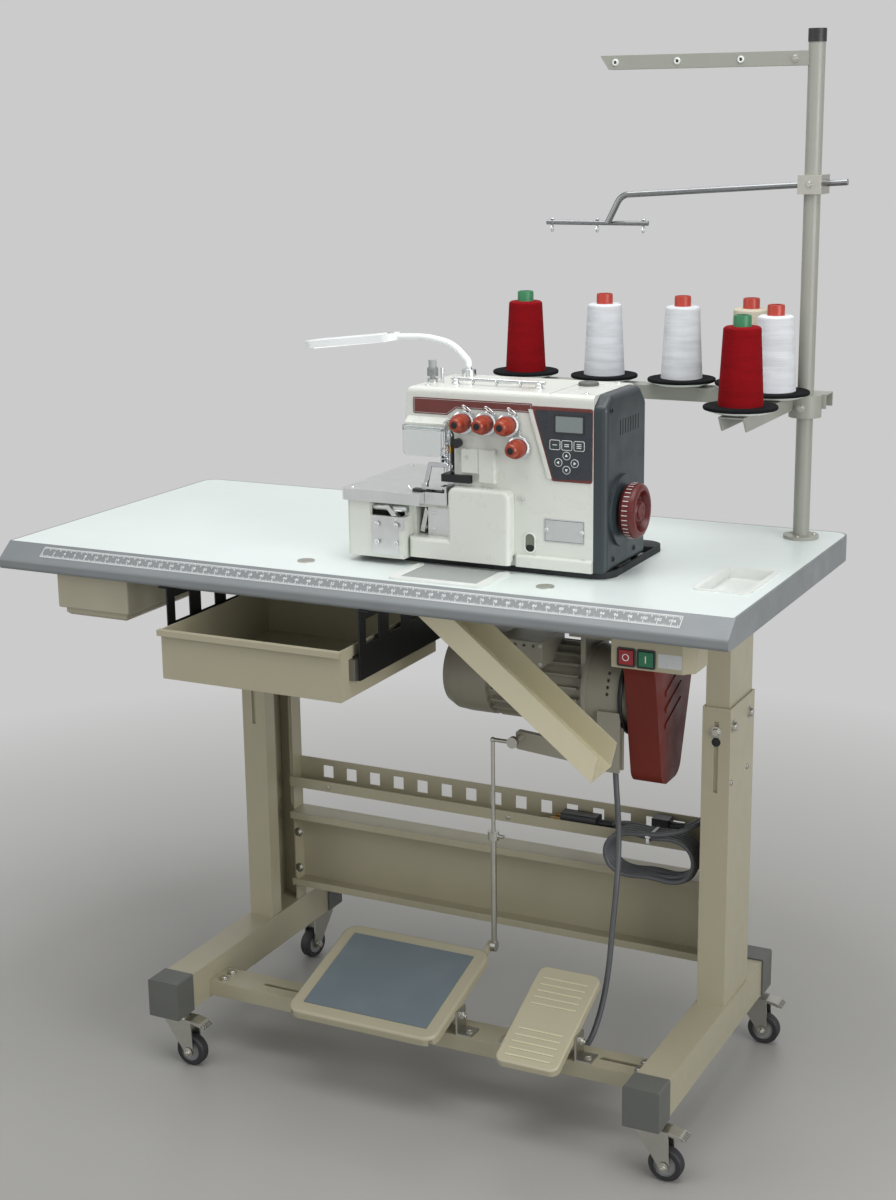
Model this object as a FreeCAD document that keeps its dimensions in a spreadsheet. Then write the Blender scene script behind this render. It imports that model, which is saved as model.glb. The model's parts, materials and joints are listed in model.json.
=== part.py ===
"""Industrial overlock sewing station: head, table, height-adjustable stand, drive and thread stand.

Millimetres. X runs along the table to the operator's right, Y away from the operator and Z up.
The origin is on the floor under the middle of the table.
"""
import FreeCAD, Part
import Sketcher
import math
import os
import re

SIZES = {
    # Table
    "table_length": 1200, "table_depth": 600, "table_thickness": 40, "table_height": 850,
    "edge_wall": 3, "front_mould": 30, "bevel_drop": 24, "front_round": 6, "corner_radius": 25,
    # Stand
    "left_leg_x": -330, "right_leg_x": 487, "beam_width": 50, "beam_tall": 60, "beam_bottom": 91,
    "beam_front": -294, "beam_rear": 224, "tube_wall": 3, "cap_wall": 3, "cap_nose": 6, "cap_sleeve": 40,
    "post_width": 44, "post_depth": 115, "post_front": 0, "post_top": 634, "post_lip": 30,
    "slide_gap": 0.5, "inner_post_bottom": 330, "post_flange": 4, "post_flange_reach": 28,
    "post_slot_width": 7, "post_slot_low": 500, "post_slot_high": 612,
    "stretcher_bottom": 185, "stretcher_tall": 136, "stretcher_depth": 45, "stretcher_lip": 12,
    "channel_bottom": 368, "channel_tall": 44, "channel_depth": 40, "channel_lip": 18, "channel_wall": 2,
    "channel_hole": 20, "channel_hole_tall": 22, "channel_pitch": 46, "channel_holes": 15,
    # Casters
    "caster_front_y": -263, "caster_rear_y": 202, "caster_trail": 27, "wheel_radius": 26, "tyre_width": 18,
    "rim_radius": 17, "hub_radius": 8, "hub_length": 20, "axle_radius": 4, "king_radius": 6,
    "race_radius": 21, "race_tall": 9, "fork_plate": 2.5, "brake_reach": 58, "brake_width": 26,
    "run_gap": 0.05, "body_gap": 0.3,
    # Foot bar, treadle and small pedal
    "bar_front": -205, "bar_depth": 55, "bar_bottom": 96, "bar_tall": 25, "bar_wall": 2.5,
    "bar_slot_left": -180, "bar_slot_right": 410, "bar_slot_length": 70, "bar_slot_radius": 4.5,
    "hinge_y": -190, "hinge_z": 148, "hinge_radius": 4,
    "ear_wall": 3, "ear_depth": 30, "ear_foot": 26,
    "treadle_x": 17, "treadle_width": 260, "treadle_front": 88, "treadle_rear": 130, "treadle_tall": 15,
    "treadle_lift": 8, "treadle_tilt": 16, "treadle_rim": 22, "treadle_round": 22, "mat_thick": 3.5,
    "rod_arm": 150, "rod_x": 141, "eye_width": 8, "eye_radius": 9,
    "pedal_x": 294, "pedal_width": 102, "pedal_front": 82, "pedal_rear": 112, "pedal_tall": 13,
    "pedal_tilt": 23, "pedal_round": 14, "pedal_rib": 1.2, "pedal_rib_pitch": 13,
    # Pull rod and clutch lever
    "rod_tube_radius": 4.5, "rod_radius": 3.2, "rod_tube_top": 400, "rod_bore_bottom": 225,
    "rod_lower_end": 300, "rod_crook": 34, "collar_radius": 9, "collar_tall": 14,
    "lever_pivot_x": 320, "lever_thick": 10, "lever_tall": 30, "yoke_width": 36, "yoke_wall": 6,
    # Drawers
    "drawer_left": -272, "drawer_right": 36, "drawer_front": -335, "drawer_length": 300,
    "drawer_wall": 1.5, "drawer_lip": 8, "lip_thick": 2.5, "lip_fold": 9,
    "runner_tall": 36, "runner_thick": 12, "runner_wall": 2, "runner_front": -300,
    "runner_length": 290, "runner_flange": 14,
    "case_left": -511, "case_width": 134, "case_front": -272, "case_length": 140, "case_tall": 60,
    "case_wall": 3, "case_lip": 5, "case_front_depth": 58, "case_step": 13, "case_step_inset": 9,
    # Switch box
    "switch_left": 416, "switch_width": 104, "switch_front": -250, "switch_depth": 62,
    "switch_side": 15, "button_size": 21, "stop_x": 439, "start_x": 468, "button_proud": 3, "button_depth": 7,
    # Waste chute
    "chute_front": -230, "chute_width": 75, "chute_tall": 36, "chute_wall": 2, "chute_slope": 38.4,
    "chute_foot_x": 380, "chute_length": 420, "chute_end_cut": 17,
    # Motor and belt drive
    "motor_x": 115, "motor_y": 42, "stator_radius": 56, "stator_length": 163,
    "fin_tall": 10, "fin_wall": 3, "fin_count": 22, "bell_length": 84, "bell_radius": 66,
    "clutch_radius": 66, "clutch_length": 62, "clutch_rim": 3, "clutch_ring": 8, "clutch_hole": 2.5,
    "terminal_x": 148, "terminal_width": 75, "terminal_tall": 41, "terminal_front": -46,
    "motor_shaft_radius": 10, "motor_plate": 8, "motor_plate_depth": 150, "motor_web": 8, "motor_web_depth": 96,
    "apron_width": 78, "apron_tall": 74,
    "motor_pulley_radius": 38, "head_pulley_radius": 30, "belt_thick": 6, "belt_width": 10,
    "belt_x": 358.5, "belt_gap": 0.3, "pulley_width": 12,
    "guard_left": 349.5, "guard_depth": 50, "guard_wall": 2.5,
    # Machine head
    "seal_thick": 10, "head_left": -36, "head_right": 348, "head_front": -150, "head_rear": 4,
    "bed_front": -180, "bed_rear": 45, "seal_margin": 40, "bed_right": 60, "arm_left": 54, "column_left": 130,
    "nose_proud": 12, "nose_left": 55, "nose_right": 122, "nose_tall": 18, "nose_slope": 8,
    "boss_left": 144, "boss_seam": 172, "boss_right": 198, "boss_proud": 8, "seam": 1.2,
    "window_x": 251, "window_radius": 9, "window_half_tall": 6, "ridge": 3,
    "looper_left": 66, "looper_right": 220, "looper_depth": 70, "recess_left": 4, "recess_depth": 20,
    "cover_top": 13, "cover_round": 8, "cover_wall": 4, "end_thick": 20, "end_wall": 3, "end_round": 8,
    "shaft_y": -91, "shaft_radius": 8, "shaft_left": 230,
    "wheel_gap": 3, "hand_wheel_width": 24, "hand_wheel_radius": 40, "boss_radius": 52, "boss_tall": 5,
    "plate_left": -42, "plate_right": 88, "plate_front": -184, "plate_rear": 38, "plate_thick": 18,
    "needle_x": 104, "needle_y": -128, "needle_bar_radius": 3.5, "presser_y": -98, "presser_radius": 4,
    "guide_bar_x": 117, "guide_bar_y": -140, "guide_bar_radius": 4,
    "panel_left": 258, "panel_thick": 2.5, "frame_wall": 8, "foot_tall": 18, "top_wire_y": -106,
    "looper_cover_left": 127, "looper_cover_right": 226, "looper_strip_left": 63,
    "looper_cover_thick": 20, "looper_cover_wall": 3, "looper_hinge_y": -156, "looper_pin_radius": 2,
    "knob_radius": 13.5, "knob_length": 26, "post_radius": 3.5,
    "guard_x": 60, "guard_width": 62, "guard_tall": 40, "guard_plate": 2, "guard_hinge_y": -168,
    # Lamp
    "lamp_x": 90, "lamp_y": -17, "lamp_neck_radius": 5, "lamp_length": 162, "lamp_width": 44, "lamp_thick": 11,
    "lamp_reach": 120, "lamp_tilt": 6.6,
    # Thread stand
    "pole_x": 538, "pole_y": 238, "pole_radius": 12.5, "pole_cap": 19,
    "arm_tall": 22, "arm_width": 38, "arm_wall": 2, "arm_slant": 16, "rear_arm_y": 265, "front_arm_x": 506,
    "dish_radius": 50, "dish_tall": 7, "foam_radius": 54, "foam_thick": 5, "pin_radius": 3, "pin_tall": 110,
    "cone_radius": 33, "cone_top_radius": 27, "cone_tall": 113, "core_radius": 13, "core_top": 127,
    "guide_arm_tall": 21, "guide_arm_left": 201, "guide_rod_radius": 5, "cross_bar_radius": 4,
    # Cords
    "cable_radius": 4.5, "gland_x": 318, "gland_y": 20, "gland_radius": 7, "gland_length": 46, "cord_radius": 4,
    "hank_turns": 5, "hank_x": 373, "hank_z": 366, "hank_run": 78, "hank_bend": 36, "hank_waist": 5,
    "hank_fan": 5,
}

# Heights of what is fixed to the table, measured from the table's top
ABOVE_TABLE = {
    "lever_pivot_z": -318, "lever_tip_z": -298, "drawer_bottom": -171, "drawer_top": -94, "runner_bottom": -146,
    "switch_bottom": -94, "button_z": -77, "chute_foot_z": -275, "motor_z": -217, "terminal_z": -174,
    "guard_bottom": -358, "gland_z": -312,
    "head_top": 250, "bed_top": 93, "arm_bottom": 202, "looper_bottom": 43, "shaft_z": 93, "recess_bottom": 72,
    "looper_cover_top": 122, "looper_cover_bottom": 13, "looper_strip_top": 43, "looper_hinge_z": 20,
    "boss_bottom": 129, "boss_step": 142, "boss_top": 178, "window_z": 48, "latch_bottom": 127,
    "latch_top": 138,
    "panel_top": 240, "panel_bottom": 142, "knob_z": 216, "knob_low_z": 184.5, "guard_hinge_z": 206,
    "lamp_z": 318,
    "pole_top": 742, "arm_z": 202, "guide_arm_z": 709, "guide_rod_z": 538, "cross_bar_z": 476,
}

DOC = FreeCAD.newDocument("overlock_station")
SHEET = DOC.addObject("Spreadsheet::Sheet", "dim")
for row, (alias, size) in enumerate((SIZES | ABOVE_TABLE).items(), start=1):
    SHEET.set("A%d" % row, alias)
    SHEET.set("B%d" % row, str(size))
    SHEET.setAlias("B%d" % row, alias)
DOC.recompute()

PIECES = []
PLANES = {"XY": ("XY_Plane", 1), "XZ": ("XZ_Plane", -1), "YZ": ("YZ_Plane", 1)}
TURN_TO = {"x": FreeCAD.Rotation(FreeCAD.Vector(0, 1, 0), 90),
           "y": FreeCAD.Rotation(FreeCAD.Vector(1, 0, 0), -90),
           "z": FreeCAD.Rotation()}


def size_of(alias):
    """A size from its cell of the sheet; a height over the table is given from the floor."""
    size = float(SHEET.get(alias))
    return size + float(SHEET.get("table_height")) if alias in ABOVE_TABLE else size


def expression(text):
    """Names of sizes become cells of the sheet, with the table's height added to heights over the table."""
    def cell(word):
        name = word.group()
        if name in ABOVE_TABLE:
            return "(dim.table_height + dim.%s)" % name
        return "dim." * (name in SIZES) + name
    return re.sub(r"[a-z][a-z_0-9]*", cell, str(text))


def bind(item, prop, text):
    item.setExpression(prop, expression(text))


def place(item, x="0", y="0", z="0", turn=None):
    """Set an object's place from expressions, after an optional turn."""
    if turn is not None:
        item.Placement = FreeCAD.Placement(FreeCAD.Vector(), turn)
    for axis, text in zip("xyz", (x, y, z)):
        bind(item, "Placement.Base." + axis, text)
    return item


def keep(item, label):
    """Name a finished sub-part, which gives its file its name."""
    item.Label = label
    PIECES.append(item)
    return item


def box(name, x, y, z, length, width, tall):
    solid = DOC.addObject("Part::Box", name)
    for prop, text in (("Length", length), ("Width", width), ("Height", tall)):
        bind(solid, prop, text)
    return place(solid, x, y, z)


def bar(name, axis, x, y, z, radius, length):
    """A cylinder from a point, along one axis."""
    solid = DOC.addObject("Part::Cylinder", name)
    bind(solid, "Radius", radius)
    bind(solid, "Height", length)
    return place(solid, x, y, z, TURN_TO[axis])


def ball(name, x, y, z, radius):
    solid = DOC.addObject("Part::Sphere", name)
    bind(solid, "Radius", radius)
    return place(solid, x, y, z)


def fuse(name, *solids):
    joined = DOC.addObject("Part::MultiFuse", name)
    joined.Shapes = list(solids)
    return joined


def cut(name, base, *tools):
    whole = DOC.addObject("Part::Cut", name)
    whole.Base = base
    whole.Tool = tools[0] if len(tools) == 1 else fuse(name + "_tools", *tools)
    return whole


def group(name, *solids):
    """Separate solids that share one node."""
    bundle = DOC.addObject("Part::Compound", name)
    bundle.Links = list(solids)
    return bundle


def new_body(name):
    return DOC.addObject("PartDesign::Body", name)


def rect(x0, y0, x1, y1):
    return [(x0, y0), (x1, y0), (x1, y1), (x0, y1)]


def circle(x, y, radius):
    return ("circle", x, y, radius)


def draw(body, plane, at, *loops):
    """A sketch on one of the body's planes, moved to a place along its normal, fully dimensioned."""
    role, sign = PLANES[plane]
    sketch = body.newObject("Sketcher::SketchObject", body.Name + "_sketch")
    sketch.AttachmentSupport = ([item for item in body.Origin.OriginFeatures if item.Role == role][0], [""])
    sketch.MapMode = "FlatFace"
    bind(sketch, "AttachmentOffset.Base.z", "%d * (%s)" % (sign, at))
    for loop in loops:
        first = sketch.GeometryCount
        if loop[0] == "circle":
            sketch.addGeometry(Part.Circle(FreeCAD.Vector(1, 1, 0), FreeCAD.Vector(0, 0, 1), 1), False)
            dimensions = [("DistanceX", -1, 1, first, 3, loop[1]), ("DistanceY", -1, 1, first, 3, loop[2]),
                          ("Radius", first, loop[3])]
        else:
            count = len(loop)
            ring = [FreeCAD.Vector(math.cos(math.tau * i / count), math.sin(math.tau * i / count), 0)
                    for i in range(count)]
            sketch.addGeometry([Part.LineSegment(ring[i], ring[(i + 1) % count]) for i in range(count)], False)
            sketch.addConstraint([Sketcher.Constraint("Coincident", first + i, 2, first + (i + 1) % count, 1)
                                  for i in range(count)])
            dimensions = [(kind, -1, 1, first + i, 1, corner[k]) for i, corner in enumerate(loop)
                          for k, kind in enumerate(("DistanceX", "DistanceY"))]
        for dimension in dimensions:
            index = sketch.addConstraint(Sketcher.Constraint(*dimension[:-1], 1.0))
            bind(sketch, "Constraints[%d]" % index, dimension[-1])
    return sketch


def pad(body, plane, at, length, *loops):
    """Material from a plane, along its positive axis."""
    feature = body.newObject("PartDesign::Pad", body.Name + "_pad")
    feature.Profile = draw(body, plane, at, *loops)
    feature.Reversed = PLANES[plane][1] < 0
    bind(feature, "Length", length)
    return feature


def pocket(body, plane, at, length, *loops):
    """A cut from a plane, along its positive axis."""
    DOC.recompute()
    before = body.Shape.Volume
    feature = body.newObject("PartDesign::Pocket", body.Name + "_pocket")
    feature.Profile = draw(body, plane, at, *loops)
    feature.Reversed = PLANES[plane][1] > 0
    bind(feature, "Length", length)
    DOC.recompute()
    if body.Shape.Volume >= before - 1e-6:
        raise ValueError("a pocket in %s cuts nothing" % body.Name)
    return feature


def turned(name, axis, *loops):
    """A revolved body round a local axis. Outlines are (along, radius) for x, (radius, along) for y and z."""
    body = new_body(name)
    plane = "XY" if axis == "y" else "XZ"
    sketch = draw(body, plane, "0", *loops)
    feature = body.newObject("PartDesign::Revolution", name + "_turn")
    feature.Profile = sketch
    feature.ReferenceAxis = (sketch, ["H_Axis" if axis == "x" else "V_Axis"])
    feature.Angle = 360
    return body


def along(axis):
    """Picks straight edges that run along one axis."""
    direction = {"x": FreeCAD.Vector(1, 0, 0), "y": FreeCAD.Vector(0, 1, 0), "z": FreeCAD.Vector(0, 0, 1)}[axis]

    def picked(edge):
        ends = [vertex.Point for vertex in edge.Vertexes]
        if len(ends) < 2 or edge.Curve.TypeId != "Part::GeomLine":
            return False
        return abs((ends[1] - ends[0]).normalize().dot(direction)) > 0.999
    return picked


def round_edges(body, radius, pick, kind="Fillet"):
    """Round, or chamfer, the edges of the last feature that a test picks."""
    DOC.recompute()
    tip = body.Tip
    names = ["Edge%d" % (i + 1) for i, edge in enumerate(tip.Shape.Edges) if pick(edge)]
    feature = body.newObject("PartDesign::" + kind, body.Name + "_round")
    feature.Base = (tip, names)
    bind(feature, "Radius" if kind == "Fillet" else "Size", radius)
    return feature


def repeat(body, feature, kind, axis, **settings):
    """A linear or polar pattern of a feature along or round an axis of its body."""
    pattern = body.newObject("PartDesign::" + kind, body.Name + "_repeat")
    pattern.Originals = [feature]
    role = axis.upper() + "_Axis"
    axis_line = [item for item in body.Origin.OriginFeatures if item.Role == role][0]
    setattr(pattern, "Direction" if kind == "LinearPattern" else "Axis", (axis_line, [""]))
    for prop, text in settings.items():
        bind(pattern, prop, text)
    body.Tip = pattern
    return pattern


def bent_path(points, radius=None):
    """Straight runs joined by tangent arcs, each as large as its runs allow or of one given radius."""
    edges = []
    start = points[0]
    for i in range(1, len(points) - 1):
        back = points[i - 1] - points[i]
        ahead = points[i + 1] - points[i]
        half_turn = (math.pi - back.getAngle(ahead)) / 2
        trim = 0.45 * min(back.Length, ahead.Length)
        bend = trim / math.tan(half_turn) if radius is None else radius
        trim = bend * math.tan(half_turn)
        back.normalize()
        ahead.normalize()
        enter = points[i] + back * trim
        leave = points[i] + ahead * trim
        inward = back + ahead
        inward.normalize()
        middle = points[i] + inward * (bend / math.cos(half_turn) - bend)
        edges.append(Part.LineSegment(start, enter).toShape())
        edges.append(Part.Arc(enter, middle, leave).toShape())
        start = leave
    edges.append(Part.LineSegment(start, points[-1]).toShape())
    return Part.Wire(edges)


def tube_along(path, radius):
    """A round solid along a path, tested against its section times its length."""
    first = path.Edges[0]
    ring = Part.Wire([Part.Circle(first.firstVertex().Point, first.tangentAt(first.FirstParameter),
                                  radius).toShape()])
    tube = path.makePipeShell([ring], True, False)
    expected = math.pi * radius ** 2 * path.Length
    if abs(tube.Volume - expected) > 0.01 * expected:
        raise ValueError("a swept tube has the wrong volume")
    return tube


def shaped(name, shape):
    """An object that holds a finished shape."""
    item = DOC.addObject("Part::Feature", name)
    item.Shape = shape
    return item


def points_of(rows):
    return [FreeCAD.Vector(*row) for row in rows]


LEGS = (("left", "left_leg_x", 1), ("right", "right_leg_x", -1))
TABLE_BOTTOM = "(table_height - table_thickness)"
BEAM_TOP = "(beam_bottom + beam_tall)"
POST_REAR = "(post_front + post_depth)"
POST_INNER_LEFT = "(left_leg_x + post_width / 2)"
POST_INNER_RIGHT = "(right_leg_x - post_width / 2)"


def post_outline(centre, opens, inset, wall, lip):
    """A lipped channel, seen from above, open towards the middle of the table."""
    half = "(post_width / 2 - (%s))" % inset
    outer = "%s - (%d) * %s" % (centre, opens, half)
    inner = "%s + (%d) * %s" % (centre, opens, half)
    outer_in = "%s + (%d) * (%s)" % (outer, opens, wall)
    inner_in = "%s - (%d) * (%s)" % (inner, opens, wall)
    front = "post_front + %s" % inset
    rear = "%s - (%s)" % (POST_REAR, inset)
    return [(outer, front), (inner, front), (inner, front + " + " + lip), (inner_in, front + " + " + lip),
            (inner_in, front + " + " + wall), (outer_in, front + " + " + wall),
            (outer_in, "%s - (%s)" % (rear, wall)), (inner_in, "%s - (%s)" % (rear, wall)),
            (inner_in, "%s - (%s)" % (rear, lip)), (inner, "%s - (%s)" % (rear, lip)), (inner, rear),
            (outer, rear)]


def make_leg_frames():
    """Each leg is a square base beam with a lipped channel welded on it."""
    legs = []
    for side, centre, opens in LEGS:
        leg = new_body("leg_" + side)
        half = "beam_width / 2"
        pad(leg, "XZ", "beam_front", "beam_rear - beam_front",
            rect(centre + " - " + half, "beam_bottom", centre + " + " + half, BEAM_TOP))
        pocket(leg, "XZ", "beam_front", "beam_rear - beam_front",
               rect(centre + " - %s + tube_wall" % half, "beam_bottom + tube_wall",
                    centre + " + %s - tube_wall" % half, BEAM_TOP + " - tube_wall"))
        pad(leg, "XY", BEAM_TOP, "post_top - " + BEAM_TOP,
            post_outline(centre, opens, "0", "tube_wall", "post_lip"))
        pocket(leg, "XY", "beam_bottom", "tube_wall",
               circle(centre, "caster_front_y", "king_radius + run_gap"),
               circle(centre, "caster_rear_y", "king_radius + run_gap"))
        slot_half = "post_slot_width / 2"
        pocket(leg, "XZ", "post_front", "tube_wall",
               rect(centre + " - " + slot_half, "post_slot_low", centre + " + " + slot_half, "post_slot_high"))
        legs.append(leg)
    keep(group("leg_frames", *legs), "leg_frames")


def make_beam_end_caps():
    """Moulded caps that slip over the ends of both beams, open underneath."""
    caps = []
    for side, centre, opens in LEGS:
        outside = rect("%s - beam_width / 2 - cap_wall" % centre, "beam_bottom",
                       "%s + beam_width / 2 + cap_wall" % centre, BEAM_TOP + " + cap_wall")
        inside = rect("%s - beam_width / 2" % centre, "beam_bottom", "%s + beam_width / 2" % centre, BEAM_TOP)
        for end, start, hollow in (("front", "beam_front - cap_nose", "beam_front"),
                                   ("rear", "beam_rear - cap_sleeve", "beam_rear - cap_sleeve")):
            cap = new_body("cap_%s_%s" % (side, end))
            pad(cap, "XZ", start, "cap_nose + cap_sleeve", outside)
            round_edges(cap, "cap_wall", lambda edge: along("y")(edge)
                        and edge.CenterOfMass.z > size_of("beam_bottom") + 1)
            pocket(cap, "XZ", hollow, "cap_sleeve", inside)
            caps.append(cap)
    keep(group("beam_end_caps", *caps), "beam_end_caps")


def make_stretcher():
    """The main cross member, a lipped channel open to the front."""
    beam = new_body("stretcher_body")
    front = POST_REAR + " - stretcher_depth"
    top = "(stretcher_bottom + stretcher_tall)"
    outline = [(POST_REAR, "stretcher_bottom"), (POST_REAR, top), (front, top),
               (front, top + " - stretcher_lip"),
               (front + " + tube_wall", top + " - stretcher_lip"),
               (front + " + tube_wall", top + " - tube_wall"),
               (POST_REAR + " - tube_wall", top + " - tube_wall"),
               (POST_REAR + " - tube_wall", "stretcher_bottom + tube_wall"),
               (front + " + tube_wall", "stretcher_bottom + tube_wall"),
               (front + " + tube_wall", "stretcher_bottom + stretcher_lip"),
               (front, "stretcher_bottom + stretcher_lip"), (front, "stretcher_bottom")]
    pad(beam, "YZ", POST_INNER_LEFT, POST_INNER_RIGHT + " - " + POST_INNER_LEFT, outline)
    keep(beam, "stretcher")


def make_cable_channel():
    """An open channel between the posts, with a row of punched windows in its back."""
    tray = new_body("channel_body")
    rear = POST_REAR + " - tube_wall"
    front = rear + " - channel_depth"
    top = "channel_bottom + channel_tall"
    outline = [(front, "channel_bottom"), (rear, "channel_bottom"), (rear, top),
               (rear + " - channel_wall", top),
               (rear + " - channel_wall", "channel_bottom + channel_wall"),
               (front + " + channel_wall", "channel_bottom + channel_wall"),
               (front + " + channel_wall", "channel_bottom + channel_lip"),
               (front, "channel_bottom + channel_lip")]
    pad(tray, "YZ", POST_INNER_LEFT, POST_INNER_RIGHT + " - " + POST_INNER_LEFT, outline)
    first = "(" + POST_INNER_LEFT + " + channel_pitch)"
    low = "channel_bottom + (channel_tall - channel_hole_tall) / 2"
    window = pocket(tray, "XZ", rear + " - 2 * channel_wall", "3 * channel_wall",
                    rect(first, low, first + " + channel_hole", low + " + channel_hole_tall"))
    repeat(tray, window, "LinearPattern", "x", Length="channel_pitch * (channel_holes - 1)",
           Occurrences="channel_holes")
    keep(tray, "cable_channel")


def obround(name, x, y, z, length, radius, tall):
    """A slot-shaped tool, upright, with its middle at a place and its length along X."""
    straight = "(%s - 2 * (%s))" % (length, radius)
    left = "%s - %s / 2" % (x, straight)
    right = "%s + %s / 2" % (x, straight)
    return fuse(name, box(name + "_mid", left, "%s - (%s)" % (y, radius), z, straight, "2 * (%s)" % radius,
                          tall),
                bar(name + "_left", "z", left, y, z, radius, tall),
                bar(name + "_right", "z", right, y, z, radius, tall))


def pedal_ear(name, x, faces):
    """An angle bracket on the foot bar with its hinge pin; faces is +1 where the pedal is on its left."""
    bar_top = "(bar_bottom + bar_tall)"
    middle = "hinge_y - ear_depth / 2"
    wall_x = x if faces > 0 else "%s - ear_wall" % x
    foot_x = x if faces > 0 else "%s - ear_foot" % x
    angle = fuse(name, box(name + "_wall", wall_x, middle, bar_top, "ear_wall", "ear_depth",
                           "hinge_z + 3 * hinge_radius - " + bar_top),
                 box(name + "_foot", foot_x, middle, bar_top, "ear_foot", "ear_depth", "ear_wall"))
    pin_from = "%s - (%d) * (5 * ear_wall)" % (x, faces)
    pin_x = pin_from if faces > 0 else "%s - 2 * ear_wall" % x
    return fuse(name + "_pinned", angle, bar(name + "_pin", "x", pin_x, "hinge_y", "hinge_z", "hinge_radius",
                                             "7 * ear_wall"))


def make_foot_bar():
    """An inverted channel between the beams, slotted for the pedals, with four hinge brackets."""
    left = "(left_leg_x + beam_width / 2)"
    right = "(right_leg_x - beam_width / 2)"
    rear = "(bar_front + bar_depth)"
    top = "(bar_bottom + bar_tall)"
    shell = new_body("bar_shell")
    pad(shell, "YZ", left, right + " - " + left,
        [("bar_front", "bar_bottom"), ("bar_front", top), (rear, top), (rear, "bar_bottom"),
         (rear + " - bar_wall", "bar_bottom"), (rear + " - bar_wall", top + " - bar_wall"),
         ("bar_front + bar_wall", top + " - bar_wall"), ("bar_front + bar_wall", "bar_bottom")])
    middle = "bar_front + bar_depth / 2"
    slots = [obround("bar_slot_%d" % i, x, middle, top + " - 2 * bar_wall", "bar_slot_length",
                     "bar_slot_radius",
                     "3 * bar_wall") for i, x in enumerate(("bar_slot_left", "bar_slot_right"))]
    rail = cut("bar_rail", shell, *slots)
    ears = []
    for label, x, width in (("treadle", "treadle_x", "treadle_width"), ("pedal", "pedal_x", "pedal_width")):
        ears.append(pedal_ear(label + "_ear_right", "%s + %s / 2 + body_gap" % (x, width), 1))
        ears.append(pedal_ear(label + "_ear_left", "%s - %s / 2 - body_gap" % (x, width), -1))
    keep(group("foot_bar_set", rail, *ears), "foot_bar")


def caster_spots():
    """Each caster's name, its swivel axis and the way it trails, in degrees about Z."""
    return (("front_left", "left_leg_x", "caster_front_y", 0),
            ("front_right", "right_leg_x", "caster_front_y", 0),
            ("rear_left", "left_leg_x", "caster_rear_y", -100),
            ("rear_right", "right_leg_x", "caster_rear_y", 0))


def make_caster(spot, x, y, trail_angle):
    """A swivel fork with king pin, axle and toothed brake pedal, and its wheel."""
    name = "caster_" + spot
    turn = FreeCAD.Rotation(FreeCAD.Vector(0, 0, 1), trail_angle)
    race_bottom = "(beam_bottom - body_gap - race_tall)"
    gap = "(hub_length / 2 + 2 * body_gap)"
    head = new_body(name + "_head")
    pad(head, "XY", race_bottom, "race_tall", circle("0", "0", "race_radius"))
    pad(head, "XY", race_bottom + " + race_tall", "body_gap + tube_wall + 4", circle("0", "0", "king_radius"))
    crown = "(%s - 2 * fork_plate)" % race_bottom
    pad(head, "XY", crown, "2 * fork_plate",
        rect("-race_radius + 4", "-%s - fork_plate" % gap, "caster_trail + 6", gap + " + fork_plate"))
    cheek = [("-race_radius + 4", crown), ("caster_trail - 9", "wheel_radius"),
             ("caster_trail - 6", "wheel_radius - 7"),
             ("caster_trail + 6", "wheel_radius - 7"), ("caster_trail + 9", "wheel_radius"),
             ("caster_trail + 6", crown)]
    pad(head, "XZ", gap, "fork_plate", cheek)
    pad(head, "XZ", "-%s - fork_plate" % gap, "fork_plate", cheek)
    round_edges(head,
                "fork_plate", lambda edge: along("y")(edge) and edge.CenterOfMass.z < size_of("wheel_radius"))
    axle = bar(name + "_axle", "y", "caster_trail", "-%s - 2 * fork_plate" % gap, "wheel_radius", "axle_radius",
               "2 * %s + 4 * fork_plate" % gap)
    brake = new_body(name + "_brake")
    half = "brake_width / 2"
    pad(brake, "XZ", "-" + half, "brake_width",
        [("caster_trail + 6", crown), ("caster_trail + 6", crown + " + 5"), ("brake_reach - 8", crown + " + 2"),
         ("brake_reach", crown + " - 3"), ("brake_reach", crown + " - 7"),
         ("brake_reach - 10", crown + " - 3")])
    tooth = pocket(brake, "XY", crown + " - 10", "20",
                   rect("brake_reach - 5", "-" + half, "brake_reach + 1", "-%s + 2.6" % half))
    repeat(brake, tooth, "LinearPattern", "y", Length="brake_width - 5.2", Occurrences="5")
    fork = group(name + "_fork_set", cut(name + "_forged", head, bar(name + "_axle_hole", "y", "caster_trail",
                                         "-%s - 2 * fork_plate" % gap, "wheel_radius", "axle_radius",
                                         "2 * %s + 4 * fork_plate" % gap)), axle, brake)
    keep(place(fork, x, y, "0", turn), "caster_fork_" + spot)
    half_tyre = "tyre_width / 2"
    tyre = turned(name + "_tyre", "y", [("rim_radius", "-" + half_tyre), ("wheel_radius - 2", "-" + half_tyre),
                                        ("wheel_radius", "3 - " + half_tyre),
                                        ("wheel_radius", half_tyre + " - 3"),
                                        ("wheel_radius - 2", half_tyre), ("rim_radius", half_tyre)])
    bore = "axle_radius + run_gap"
    hub = turned(name + "_hub", "y", [(bore, "-hub_length / 2"), ("hub_radius", "-hub_length / 2"),
                                      ("hub_radius", "4 - hub_length / 2"), ("rim_radius", "3 - " + half_tyre),
                                      ("rim_radius", half_tyre + " - 3"), ("hub_radius", "hub_length / 2 - 4"),
                                      ("hub_radius", "hub_length / 2"), (bore, "hub_length / 2")])
    wheel = group(name + "_wheel_set", tyre, hub)
    trail = "caster_trail * cos(%d)" % trail_angle
    side = "caster_trail * sin(%d)" % trail_angle
    keep(place(wheel, "%s + %s" % (x, trail), "%s + %s" % (y, side), "wheel_radius", turn),
         "caster_wheel_" + spot)


def tilt(alias):
    return FreeCAD.Rotation(FreeCAD.Vector(1, 0, 0), size_of(alias))


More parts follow.
